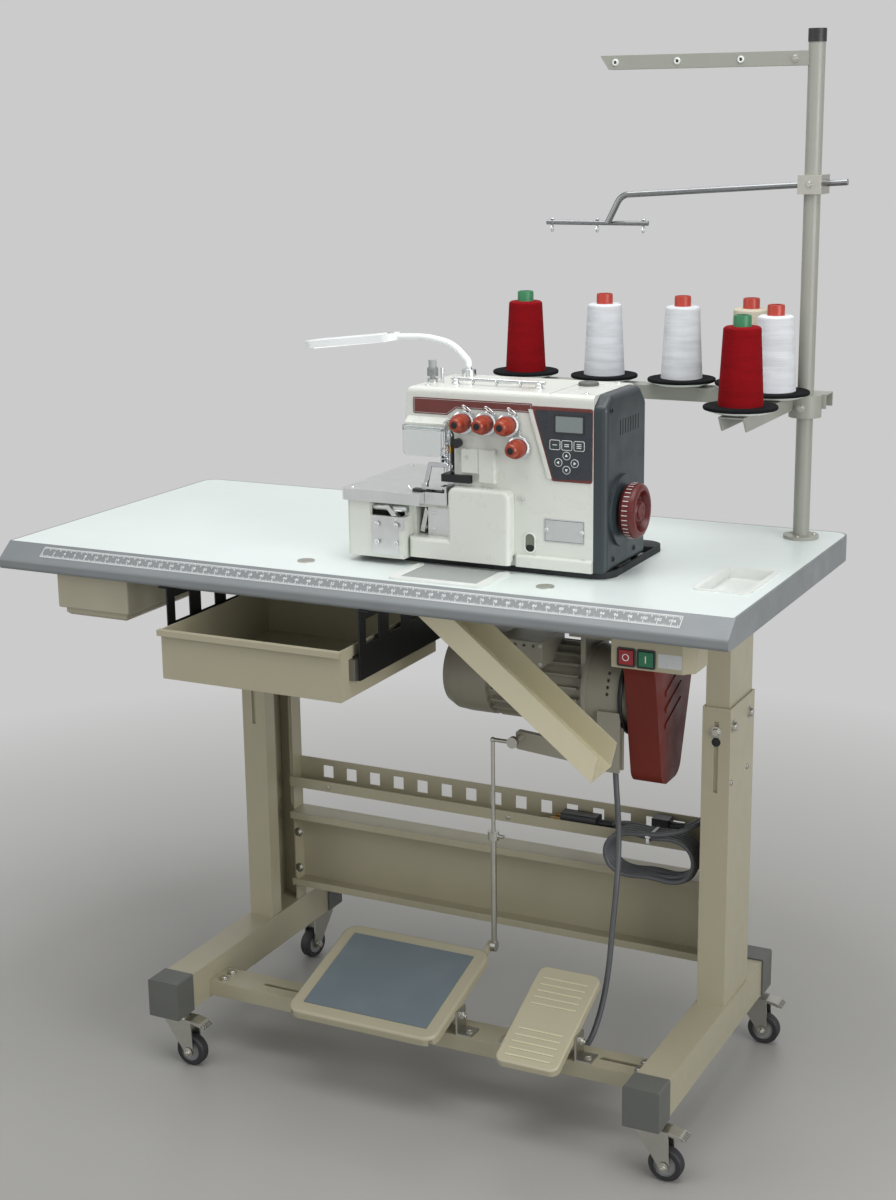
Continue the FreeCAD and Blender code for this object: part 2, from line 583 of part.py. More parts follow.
PLATE_MID = "(treadle_lift + treadle_tall / 2)"
EYE_Y = "(hinge_y + rod_arm * cos(treadle_tilt) - %s * sin(treadle_tilt))" % PLATE_MID
EYE_Z = "(hinge_z + rod_arm * sin(treadle_tilt) + %s * cos(treadle_tilt))" % PLATE_MID


def pedal_lugs(body, width, lift):
    """Two cheeks under a pedal, bored for the hinge pins."""
    for side in ("-%s / 2" % width, "%s / 2 - 2 * ear_wall" % width):
        pad(body, "YZ", side, "2 * ear_wall", rect("-3 * hinge_radius", "-2.5 * hinge_radius",
                                                   "3 * hinge_radius", lift + " + 1"))
    pocket(body, "YZ", "-%s / 2" % width, width, circle("0", "0", "hinge_radius + run_gap"))


def make_treadle():
    """A cast foot plate with a rim round its mat, cheeks for the hinge and a lug for the pull rod."""
    plate = new_body("treadle_plate")
    half = "treadle_width / 2"
    pad(plate, "XY", "treadle_lift", "treadle_tall", rect("-" + half, "-treadle_front", half, "treadle_rear"))
    round_edges(plate, "treadle_round", along("z"))
    top = size_of("treadle_lift") + size_of("treadle_tall")
    round_edges(plate, "treadle_tall / 3", lambda edge: abs(edge.BoundBox.ZMin - top) < 1e-3)
    recess = rect("-%s + treadle_rim" % half, "-treadle_front + treadle_rim", half + " - treadle_rim",
                  "treadle_rear - treadle_rim")
    mat_floor = "treadle_lift + treadle_tall - mat_thick + 1"
    pocket(plate, "XY", mat_floor, "mat_thick", recess)
    pocket(plate, "XY", "treadle_lift", "treadle_tall - mat_thick - 2",
           rect("-%s + 2 * ear_wall" % half, "-treadle_front + ear_wall", half + " - 2 * ear_wall",
                "treadle_rear - ear_wall"))
    pedal_lugs(plate, "treadle_width", "treadle_lift")
    lug_right = "rod_x - treadle_x - eye_width / 2 - 2 * body_gap"
    pad(plate, "YZ", lug_right + " - eye_width", "eye_width",
        rect("treadle_rear - treadle_round", "treadle_lift", "rod_arm + eye_radius",
             "treadle_lift + treadle_tall - 5"))
    turn = tilt("treadle_tilt")
    keep(place(plate, "treadle_x", "hinge_y", "hinge_z", turn), "treadle")
    mat = new_body("mat_sheet")
    pad(mat, "XY", mat_floor, "mat_thick", recess)
    round_edges(mat, "mat_thick / 2", along("z"))
    keep(place(mat, "treadle_x", "hinge_y", "hinge_z", turn), "treadle_mat")


def make_small_pedal():
    """A narrow ribbed pedal on its own hinge."""
    plate = new_body("pedal_plate")
    half = "pedal_width / 2"
    pad(plate, "XY", "treadle_lift", "pedal_tall", rect("-" + half, "-pedal_front", half, "pedal_rear"))
    round_edges(plate, "pedal_round", along("z"))
    top = size_of("treadle_lift") + size_of("pedal_tall")
    round_edges(plate, "pedal_tall / 4", lambda edge: abs(edge.BoundBox.ZMin - top) < 1e-3)
    pocket(plate, "XY", "treadle_lift", "pedal_tall - 4",
           rect("-%s + 2 * ear_wall" % half, "-pedal_front + ear_wall", half + " - 2 * ear_wall",
                "pedal_rear - ear_wall"))
    pedal_lugs(plate, "pedal_width", "treadle_lift")
    surface = "treadle_lift + pedal_tall"
    for first in ("-pedal_front + pedal_rib_pitch", "pedal_rear - 6 * pedal_rib_pitch"):
        rib = pad(plate, "XY", surface + " - 0.5", "pedal_rib + 0.5",
                  rect("-%s + pedal_round" % half, first, half + " - pedal_round", first + " + 2 * pedal_rib"))
        repeat(plate, rib, "LinearPattern", "y", Length="4 * pedal_rib_pitch", Occurrences="5")
    keep(place(plate, "pedal_x", "hinge_y", "hinge_z", tilt("pedal_tilt")), "small_pedal")


LEVER_TIP_X = "(rod_x + rod_crook)"


def make_pull_rod():
    """A lower tube from the treadle, clamped on an upper rod that is bent over to the clutch lever."""
    eye = bar("lower_eye", "x", "rod_x - eye_width / 2", EYE_Y, EYE_Z, "eye_radius", "eye_width")
    tube = bar("lower_tube", "z", "rod_x", EYE_Y, EYE_Z, "rod_tube_radius", "rod_tube_top - " + EYE_Z)
    collar = bar("lower_collar", "z", "rod_x", EYE_Y, "rod_tube_top - collar_tall", "collar_radius",
                 "collar_tall")
    screw = bar("lower_screw", "x", "rod_x + rod_tube_radius", EYE_Y, "rod_tube_top - collar_tall / 2",
                "rod_radius", "3 * rod_tube_radius")
    bore = bar("lower_bore", "z", "rod_x", EYE_Y, "rod_bore_bottom", "rod_radius + run_gap",
               "rod_tube_top - rod_bore_bottom + 1")
    keep(cut("rod_lower_cut", fuse("rod_lower_whole", eye, tube, collar, screw), bore), "rod_lower")
    rod = bar("upper_rod", "z", "rod_x", EYE_Y, "rod_lower_end", "rod_radius", "lever_tip_z - rod_lower_end")
    elbow = ball("upper_elbow", "rod_x", EYE_Y, "lever_tip_z", "1.3 * rod_radius")
    crook = bar("upper_crook", "x", "rod_x", EYE_Y, "lever_tip_z", "rod_radius", "rod_crook")
    top_eye = bar("upper_eye", "y", LEVER_TIP_X, EYE_Y + " - eye_width / 2", "lever_tip_z", "eye_radius",
                  "eye_width")
    keep(fuse("rod_upper_whole", rod, elbow, crook, top_eye), "rod_upper")


LEVER_FRONT = "(motor_y - stator_radius - lever_thick / 2)"


def make_clutch_lever():
    """A flat lever under the motor, bored at its pivot, with a cross pin for the pull rod."""
    lever = new_body("lever_plate")
    half = "lever_tall / 2"
    tip = LEVER_TIP_X + " - eye_radius"
    pad(lever, "XZ", LEVER_FRONT, "lever_thick",
        [("lever_pivot_x + " + half, "lever_pivot_z - " + half),
         ("lever_pivot_x + " + half, "lever_pivot_z + " + half),
         (tip, "lever_tip_z + eye_radius"), (tip, "lever_tip_z + eye_radius - lever_tall")])
    round_edges(lever, "eye_radius / 2", along("y"))
    pocket(lever, "XZ", LEVER_FRONT, "lever_thick", circle("lever_pivot_x", "lever_pivot_z",
                                                           "hinge_radius + run_gap"))
    pin_front = "(%s + eye_width / 2 + 2 * body_gap)" % EYE_Y
    pin = bar("lever_pin", "y", LEVER_TIP_X, pin_front, "lever_tip_z", "rod_tube_radius",
              LEVER_FRONT + " - " + pin_front + " + 1")
    keep(fuse("lever_whole", lever, pin), "clutch_lever")


BOARD_FRONT = "(front_mould - table_depth / 2)"


def slab(name, inset):
    """The table's rounded plan, inset from its outer size, at its full thickness."""
    body = new_body(name)
    front = BOARD_FRONT if inset != "0" else "-table_depth / 2"
    half = "(table_length / 2 - (%s))" % inset
    pad(body, "XY", TABLE_BOTTOM, "table_thickness",
        rect("-" + half, front, half, "table_depth / 2 - (%s)" % inset))
    round_edges(body, "corner_radius - (%s)" % inset, lambda edge: along("z")(edge) and edge.CenterOfMass.y > 0)
    return body


CHIP_LID = ("75", "-262", "225", "-160")
TRAY = ("494", "-148", "578", "5")
TRAY_WALL = 6
TRAY_DEPTH = 16
PLUGS = (("-91", "-209"), ("302", "-214"))
PLUG_RADIUS = 13
BELT_SLOT = rect("belt_x - belt_width", "shaft_y - 25", "belt_x + belt_width", "motor_y")


def inset_rect(corners, inset):
    x0, y0, x1, y1 = corners
    return rect("%s + %s" % (x0, inset), "%s + %s" % (y0, inset), "%s - %s" % (x1, inset),
                "%s - %s" % (y1, inset))


def make_table():
    """The laminated board with its cut-outs, and the moulded band round its edge."""
    board = slab("board", "edge_wall")
    pocket(board, "XY", TABLE_BOTTOM, "table_thickness", inset_rect(CHIP_LID, 25), BELT_SLOT)
    pocket(board, "XY", "table_height - %d" % TRAY_DEPTH, TRAY_DEPTH, inset_rect(TRAY, TRAY_WALL))
    keep(board, "table_top")
    rim = slab("rim", "0")
    front = "-table_depth / 2"
    pocket(rim, "YZ", "-table_length / 2", "table_length",
           [(front + " - 1", "table_height - bevel_drop"), (front, "table_height - bevel_drop"),
            (BOARD_FRONT, "table_height"), (BOARD_FRONT, "table_height + 1"),
            (front + " - 1", "table_height + 1")])
    round_edges(rim,
                "front_round",
                lambda edge: along("x")(edge) and edge.CenterOfMass.y < 1 - size_of("table_depth") / 2)
    keep(cut("edge_ring", rim, slab("board_space", "edge_wall")), "edge_band")


def make_table_inserts():
    """What drops into the board: tool tray, waste lid in its frame, hole plugs and the seal under the head."""
    tray = new_body("tool_tray")
    pad(tray, "XY", "table_height - %d" % TRAY_DEPTH, TRAY_DEPTH, inset_rect(TRAY, TRAY_WALL))
    pad(tray, "XY", "table_height", "2", inset_rect(TRAY, 0))
    round_edges(tray, "10", lambda edge: along("z")(edge) and edge.CenterOfMass.z > size_of("table_height"))
    pocket(tray, "XY", "table_height - %d" % (TRAY_DEPTH - 2), TRAY_DEPTH, inset_rect(TRAY, TRAY_WALL + 2))
    frame = new_body("lid_frame")
    pad(frame, "XY", "table_height", "3", inset_rect(CHIP_LID, 0))
    round_edges(frame, "8", along("z"))
    pocket(frame, "XY", "table_height", "3", inset_rect(CHIP_LID, 15))
    lid = new_body("waste_lid")
    pad(lid, "XY", "table_height", "2", inset_rect(CHIP_LID, 15))
    plugs = [bar("plug_%d" % i, "z", x, y, "table_height", PLUG_RADIUS, "1.5") for i,
             (x, y) in enumerate(PLUGS)]
    seal = new_body("head_seal")
    pad(seal, "XY", "table_height", "seal_thick",
        rect("head_left - 8", "head_front + 4", "head_right + end_thick + 4", "bed_rear + seal_margin"))
    round_edges(seal, "30", along("z"))
    pocket(seal, "XY", "table_height", "seal_thick", BELT_SLOT)
    keep(group("inserts", tray, frame, lid, *plugs, seal), "table_inserts")


def make_inner_posts():
    """Telescoping channels inside the outer posts, flanged under the board."""
    posts = []
    inset = "tube_wall + slide_gap"
    for side, centre, opens in LEGS:
        post = new_body("inner_post_" + side)
        pad(post, "XY", "inner_post_bottom", TABLE_BOTTOM + " - inner_post_bottom",
            post_outline(centre, opens, inset, "tube_wall", "post_lip - tube_wall"))
        reach = "(post_width / 2 + post_flange_reach)"
        pad(post, "XY", TABLE_BOTTOM + " - post_flange", "post_flange",
            rect(centre + " - " + reach, "post_front", centre + " + " + reach, POST_REAR))
        posts.append(post)
    keep(group("inner_post_pair", *posts), "inner_posts")


def make_drawer():
    """A folded steel drawer on telescopic runners hung from the board."""
    tray = new_body("drawer_tray")
    rear = "drawer_front + drawer_length"
    pad(tray, "XY", "drawer_bottom", "drawer_top - drawer_bottom",
        rect("drawer_left", "drawer_front", "drawer_right", rear))
    wall = "drawer_wall"
    pocket(tray, "XY", "drawer_bottom + drawer_wall", "drawer_top - drawer_bottom",
           rect("drawer_left + " + wall, "drawer_front + " + wall, "drawer_right - " + wall,
                rear + " - " + wall))
    pad(tray, "YZ", "drawer_left - lip_thick", "drawer_right - drawer_left + 2 * lip_thick",
        [("drawer_front + " + wall, "drawer_top - lip_thick"), ("drawer_front + " + wall, "drawer_top"),
         ("drawer_front - drawer_lip", "drawer_top"), ("drawer_front - drawer_lip", "drawer_top - lip_fold"),
         ("drawer_front - drawer_lip + lip_thick", "drawer_top - lip_fold"),
         ("drawer_front - drawer_lip + lip_thick", "drawer_top - lip_thick")])
    slides = []
    rails = []
    top = "(runner_bottom + runner_tall)"
    gap = "body_gap"
    for side, face, out in (("left", "drawer_left", -1), ("right", "drawer_right", 1)):
        near = "(%s + (%d) * 2 * %s)" % (face, out, gap)
        far = "(%s + (%d) * runner_thick)" % (near, out)
        web = "(%s - (%d) * runner_wall)" % (far, out)
        slide = new_body("slide_" + side)
        reach = "%s - (%d) * %s" % (web, out, gap)
        pad(slide, "XZ", "drawer_front + 3 * drawer_lip", "drawer_length - 3 * drawer_lip",
            rect(face, "runner_bottom + runner_wall + " + gap, reach, top + " - runner_wall - " + gap))
        slides.append(slide)
        rail = new_body("rail_" + side)
        pad(rail, "XZ", "runner_front", "runner_length",
            [(near, "runner_bottom"), (far, "runner_bottom"), (far, TABLE_BOTTOM + " - runner_wall"),
             ("%s + (%d) * runner_flange" % (far, out), TABLE_BOTTOM + " - runner_wall"),
             ("%s + (%d) * runner_flange" % (far, out), TABLE_BOTTOM), (web, TABLE_BOTTOM), (web, top),
             (near, top),
             (near, top + " - runner_wall"), (web, top + " - runner_wall"),
             (web, "runner_bottom + runner_wall"), (near, "runner_bottom + runner_wall")])
        hole = pocket(rail, "YZ", "%s - 4" % web if out > 0 else "%s - 4" % far, "10",
                      rect("runner_front + 20", top + " + 14", "runner_front + 60", TABLE_BOTTOM + " - 18"))
        repeat(rail, hole, "LinearPattern", "y", Length="runner_length - 80", Occurrences="4")
        rails.append(rail)
    keep(group("drawer_set", tray, *slides), "drawer")
    keep(group("runner_pair", *rails), "drawer_rails")


def make_plastic_drawer():
    """A small moulded drawer at the left end: its deep front is clear of the case that it slides in."""
    right = "(case_left + case_width)"
    bottom = "(%s - case_tall)" % TABLE_BOTTOM
    start = "(case_front + case_front_depth)"
    lip_top = "(%s + case_wall)" % bottom
    case = new_body("plastic_case")
    pad(case, "XZ", start, "case_length", rect("case_left", bottom, right, TABLE_BOTTOM))
    floor = size_of("table_height") - size_of("table_thickness") - size_of("case_tall")
    round_edges(case, "case_wall", lambda edge: along("y")(edge) and edge.CenterOfMass.z < floor + 1)
    pocket(case, "XZ", start, "case_length - case_wall",
           rect("case_left + case_wall", lip_top, right + " - case_wall", TABLE_BOTTOM + " - case_wall"))
    pocket(case, "XY", bottom, "case_wall + 1", rect("case_left + case_wall + case_lip", start,
                                                     right + " - case_wall - case_lip",
                                                     start + " + case_length - case_wall"))
    keep(case, "box_case")
    tray = new_body("plastic_drawer")
    pad(tray, "XZ", "case_front", "case_front_depth - body_gap",
        rect("case_left", bottom, right, TABLE_BOTTOM + " - 2"))
    round_edges(tray,
                "case_wall", lambda edge: edge.CenterOfMass.y < size_of("case_front") + 1 or along("y")(edge))
    side = "(case_wall + body_gap)"
    rear = "(%s + case_length - 2 * case_wall)" % start
    pad(tray, "XY", lip_top + " + body_gap", "case_tall - 5 * case_wall",
        rect("case_left + " + side, start + " - 1", right + " - " + side, rear))
    step = "(%s - case_step)" % bottom
    inset = "case_step_inset"
    pad(tray, "XY", step, "case_step + case_wall + 2 * body_gap",
        rect("case_left + " + inset, "case_front + " + inset, right + " - " + inset, rear))
    low = floor - size_of("case_step")
    round_edges(tray, "0.5 * case_step_inset", lambda edge: edge.BoundBox.ZMax < low + 1e-3, "Chamfer")
    hollow = "(%s + 1.5 * case_wall)" % inset
    pocket(tray, "XY", step + " + case_wall", "case_tall + case_step",
           rect("case_left + " + hollow, "case_front + " + hollow, right + " - " + hollow,
                rear + " - case_wall"))
    keep(tray, "box_drawer")


def make_switch_box():
    """A moulded switch box under the front edge with two square push buttons."""
    right = "(switch_left + switch_width)"
    rear = "switch_front + switch_depth"
    shell = new_body("switch_shell")
    pad(shell, "XY", "switch_bottom", TABLE_BOTTOM + " - switch_bottom",
        [("switch_left", "switch_front"), (right, "switch_front"),
         (right + " + switch_side", "switch_front + switch_side"),
         (right + " + switch_side", rear), ("switch_left", rear)])
    round_edges(shell,
                "2", lambda edge: along("z")(edge) or edge.CenterOfMass.z < size_of("switch_bottom") + 1e-3)
    half = "button_size / 2"
    loops = [rect("%s - %s - body_gap" % (x, half), "button_z - %s - body_gap" % half,
                  "%s + %s + body_gap" % (x, half),
                  "button_z + %s + body_gap" % half) for x in ("stop_x", "start_x")]
    pocket(shell, "XZ", "switch_front", "button_depth + 1", *loops)
    keep(shell, "switch_box")
    for label, x in (("stop_button", "stop_x"), ("start_button", "start_x")):
        button = new_body(label + "_cap")
        pad(button, "XZ", "switch_front - button_proud", "button_depth",
            rect("%s - %s" % (x, half), "button_z - " + half, "%s + %s" % (x, half), "button_z + " + half))
        front = size_of("switch_front") - size_of("button_proud")
        round_edges(button, "1", lambda edge: edge.BoundBox.YMax < front + 1e-3)
        keep(button, label)


def make_waste_chute():
    """A folded trough that leads trimmings from the opening down to the right."""
    trough = new_body("chute_trough")
    pad(trough, "YZ", "0", "chute_length",
        [("0", "0"), ("chute_width", "0"), ("chute_width", "chute_tall"),
         ("chute_width - chute_wall", "chute_tall"),
         ("chute_width - chute_wall", "chute_wall"), ("chute_wall", "chute_wall"), ("chute_wall", "chute_tall"),
         ("0", "chute_tall")])
    pocket(trough, "XZ", "-1", "chute_width + 2",
           [("chute_length", "0"), ("chute_length + 1", "0"), ("chute_length + 1", "chute_tall + 1"),
            ("chute_length - chute_end_cut", "chute_tall + 1")])
    place(trough, "chute_foot_x - chute_length * cos(chute_slope)", "chute_front",
          "chute_foot_z + chute_length * sin(chute_slope)",
          FreeCAD.Rotation(FreeCAD.Vector(0, 1, 0), size_of("chute_slope")))
    above = box("chute_above", "-table_length / 2", "chute_front - chute_width", TABLE_BOTTOM, "table_length",
                "3 * chute_width", "table_height")
    keep(cut("chute_cut", trough, above), "waste_chute")


def make_motor():
    """A finned clutch motor: stator, terminal box, end bell, clutch housing with the lever's yoke, bracket."""
    stator = turned("stator", "x", [("0", "0"), ("0", "stator_radius"), ("stator_length", "stator_radius"),
                                    ("stator_length", "0")])
    fin = pad(stator, "YZ", "motor_web", "stator_length - 2 * motor_web",
              rect("-fin_wall / 2", "stator_radius - fin_wall", "fin_wall / 2", "stator_radius + fin_tall"))
    repeat(stator, fin, "PolarPattern", "x", Occurrences="fin_count")
    bell = turned("end_bell", "x", [("-bell_length", "0"), ("-bell_length", "0.62 * bell_radius"),
                                    ("-0.93 * bell_length", "0.85 * bell_radius"),
                                    ("-0.75 * bell_length", "0.97 * bell_radius"),
                                    ("-0.5 * bell_length", "bell_radius"), ("0", "bell_radius"), ("0", "0")])
    bore = "motor_shaft_radius + run_gap"
    right = "(stator_length + clutch_length)"
    ring = "clutch_radius - 3 * clutch_rim"
    housing = turned("clutch_shell", "x",
                     [("stator_length", "0"), ("stator_length", "clutch_radius + clutch_rim"),
                      ("stator_length + 2 * clutch_rim", "clutch_radius + clutch_rim"),
                      ("stator_length + 2 * clutch_rim", "clutch_radius"),
                      (right + " - clutch_rim", "clutch_radius"),
                      (right, "clutch_radius - clutch_rim"), (right, ring), (right + " + clutch_ring", ring),
                      (right + " + clutch_ring", bore), (right + " - 25", bore), (right + " - 25", "0")])
    pocket(housing, "XZ", "-clutch_radius", "0.3 * clutch_radius",
           *[circle("stator_length + 0.68 * clutch_length", "%d * clutch_hole" % step, "clutch_hole")
             for step in (3, 7, 11, 15)])
    for part in (stator, bell, housing):
        place(part, "motor_x", "motor_y", "motor_z")
    terminals = new_body("terminal_box")
    middle = "terminal_x + terminal_width / 2"
    pad(terminals, "XZ", "terminal_front", "motor_y - terminal_front",
        rect("terminal_x", "terminal_z", "terminal_x + terminal_width", "terminal_z + terminal_tall"))
    round_edges(terminals, "2", lambda edge: edge.CenterOfMass.y < size_of("motor_y") - 1)
    pocket(terminals, "XZ", "terminal_front", "2 * clutch_hole",
           *[circle("%s + %d * clutch_hole" % (middle, step), "terminal_z + terminal_tall - 3 * clutch_hole",
                    "clutch_hole")
             for step in (-9, -3, 3, 9)])
    inner = LEVER_FRONT + " - body_gap - yoke_wall"
    cheeks = [box("yoke_%d" % i, "lever_pivot_x - lever_tall / 2", y, "lever_pivot_z - lever_tall / 2",
                  "yoke_width",
                  "yoke_wall", "motor_z - 20 - lever_pivot_z + lever_tall / 2")
              for i, y in enumerate((inner, LEVER_FRONT + " + lever_thick + body_gap"))]
    pin = bar("yoke_pin", "y", "lever_pivot_x", inner, "lever_pivot_z", "hinge_radius",
              "2 * yoke_wall + lever_thick + 2 * body_gap")
    gland = bar("cable_gland", "z", "gland_x", "gland_y", "gland_z", "gland_radius", "gland_length")
    clutch = fuse("clutch_housing", housing, *cheeks, pin, gland)
    plate_z = TABLE_BOTTOM + " - motor_plate"
    web_tall = "(%s - motor_z)" % plate_z
    front = "(motor_y - motor_plate_depth / 2)"
    plate = box("mount_plate", "motor_x", front, plate_z, "stator_length + clutch_length", "motor_plate_depth",
                "motor_plate")
    apron = box("mount_apron", "motor_x + stator_length + clutch_length - apron_width", front,
                plate_z + " - apron_tall", "apron_width", "motor_web", "apron_tall + 1")
    webs = [box("mount_web_%d" % i, x, "motor_y - motor_web_depth / 2", "motor_z", "motor_web",
                "motor_web_depth",
                web_tall) for i, x in enumerate(("motor_x", "motor_x + stator_length - motor_web"))]
    barrel = bar("mount_barrel", "x", "motor_x - 1", "motor_y", "motor_z", "stator_radius + run_gap",
                 "stator_length + 2")
    bracket = cut("motor_bracket", fuse("mount_whole", plate, apron, *webs), barrel)
    keep(group("motor_set", fuse("stator_whole", stator, terminals), bell, clutch, bracket), "motor_body")


def pulley(name, radius, bore):
    """A grooved pulley round local X, wide enough for the belt."""
    half = "pulley_width / 2"
    groove = "(belt_width / 2 + belt_gap)"
    rim = "%s + belt_thick" % radius
    return turned(name, "x", [("-" + half, bore), ("-" + half, rim), ("-" + groove, rim),
                              ("-" + groove, radius),
                              (groove, radius), (groove, rim), (half, rim), (half, bore)])


def make_belt_drive():
    """Motor pulley on its shaft, the belt loop, and the cover that hangs below the board."""
    wheel = place(pulley("motor_wheel", "motor_pulley_radius", "motor_shaft_radius"), "belt_x", "motor_y",
                  "motor_z")
    start = "motor_x + stator_length + clutch_length - 24"
    shaft = bar("motor_shaft", "x", start, "motor_y", "motor_z", "motor_shaft_radius",
                "belt_x + pulley_width - (%s)" % start)
    keep(group("motor_pulley_set", wheel, shaft), "motor_pulley")

    def loop(grow):
        """The plan of two discs and the strip between their outer tangents."""
        low = FreeCAD.Vector(0, size_of("motor_y"), size_of("motor_z"))
        high = FreeCAD.Vector(0, size_of("shaft_y"), size_of("shaft_z"))
        span = high - low
        low_radius = size_of("motor_pulley_radius") + grow
        high_radius = size_of("head_pulley_radius") + grow
        axis = FreeCAD.Vector(1, 0, 0)
        width = size_of("belt_width")
        lean = math.degrees(math.acos((low_radius - high_radius) / span.Length))
        ray = FreeCAD.Vector(span)
        ray.normalize()
        sides = [FreeCAD.Rotation(axis, lean * way).multVec(ray) for way in (1, -1)]
        corners = [low + sides[0] * low_radius, high + sides[0] * high_radius, high + sides[1] * high_radius,
                   low + sides[1] * low_radius, low + sides[0] * low_radius]
        strip = Part.Face(Part.makePolygon(corners)).extrude(axis * width)
        discs = [Part.makeCylinder(radius, width, centre, axis) for radius, centre in
                 ((low_radius, low), (high_radius, high))]
        return strip.fuse(discs).removeSplitter()

    gap = size_of("belt_gap")
    belt = shaped("belt_loop", loop(gap + size_of("belt_thick")).cut(loop(gap)))
    keep(place(belt, "belt_x - belt_width / 2"), "drive_belt")
    cover = new_body("belt_shell")
    pad(cover, "YZ", "guard_left", "guard_depth",
        [("shaft_y + 9", TABLE_BOTTOM), ("motor_y + 93", TABLE_BOTTOM), ("motor_y + 93", "motor_z + 8"),
         ("motor_y + 43", "guard_bottom"), ("motor_y - 34", "guard_bottom"), ("motor_y - 70", "motor_z + 45"),
         ("shaft_y + 9", "motor_z + 140")])
    round_edges(cover, "28", lambda edge: along("x")(edge) and edge.CenterOfMass.z < size_of("motor_z") + 150)
    DOC.recompute()
    tip = cover.Tip
    top = max(range(len(tip.Shape.Faces)), key=lambda i: tip.Shape.Faces[i].CenterOfMass.z)
    shell = cover.newObject("PartDesign::Thickness", "belt_wall")
    shell.Base = (tip, ["Face%d" % (top + 1)])
    shell.Reversed = True
    bind(shell, "Value", "guard_wall")
    pocket(cover, "YZ", "guard_left", "guard_wall + 1",
           circle("motor_y", "motor_z", "1.5 * motor_shaft_radius"))
    for low in (-50, -24, 2):
        pad(cover, "YZ", "guard_left + guard_depth - 0.5", "2",
            [("motor_y - 24", "motor_z + %d" % low), ("motor_y + 44", "motor_z + %d" % (low + 26)),
             ("motor_y + 44", "motor_z + %d" % (low + 34)), ("motor_y - 24", "motor_z + %d" % (low + 8))])
    keep(cover, "belt_cover")


HEAD_BOTTOM = "(table_height + seal_thick)"


def oval(x, z, half_width, half_tall, corners=20):
    """Corners on an ellipse, as expressions."""
    angles = [math.tau * i / corners for i in range(corners)]
    return [("%s + %.6f * %s" % (x, math.cos(a), half_width), "%s + %.6f * %s" % (z, math.sin(a), half_tall))
            for a in angles]


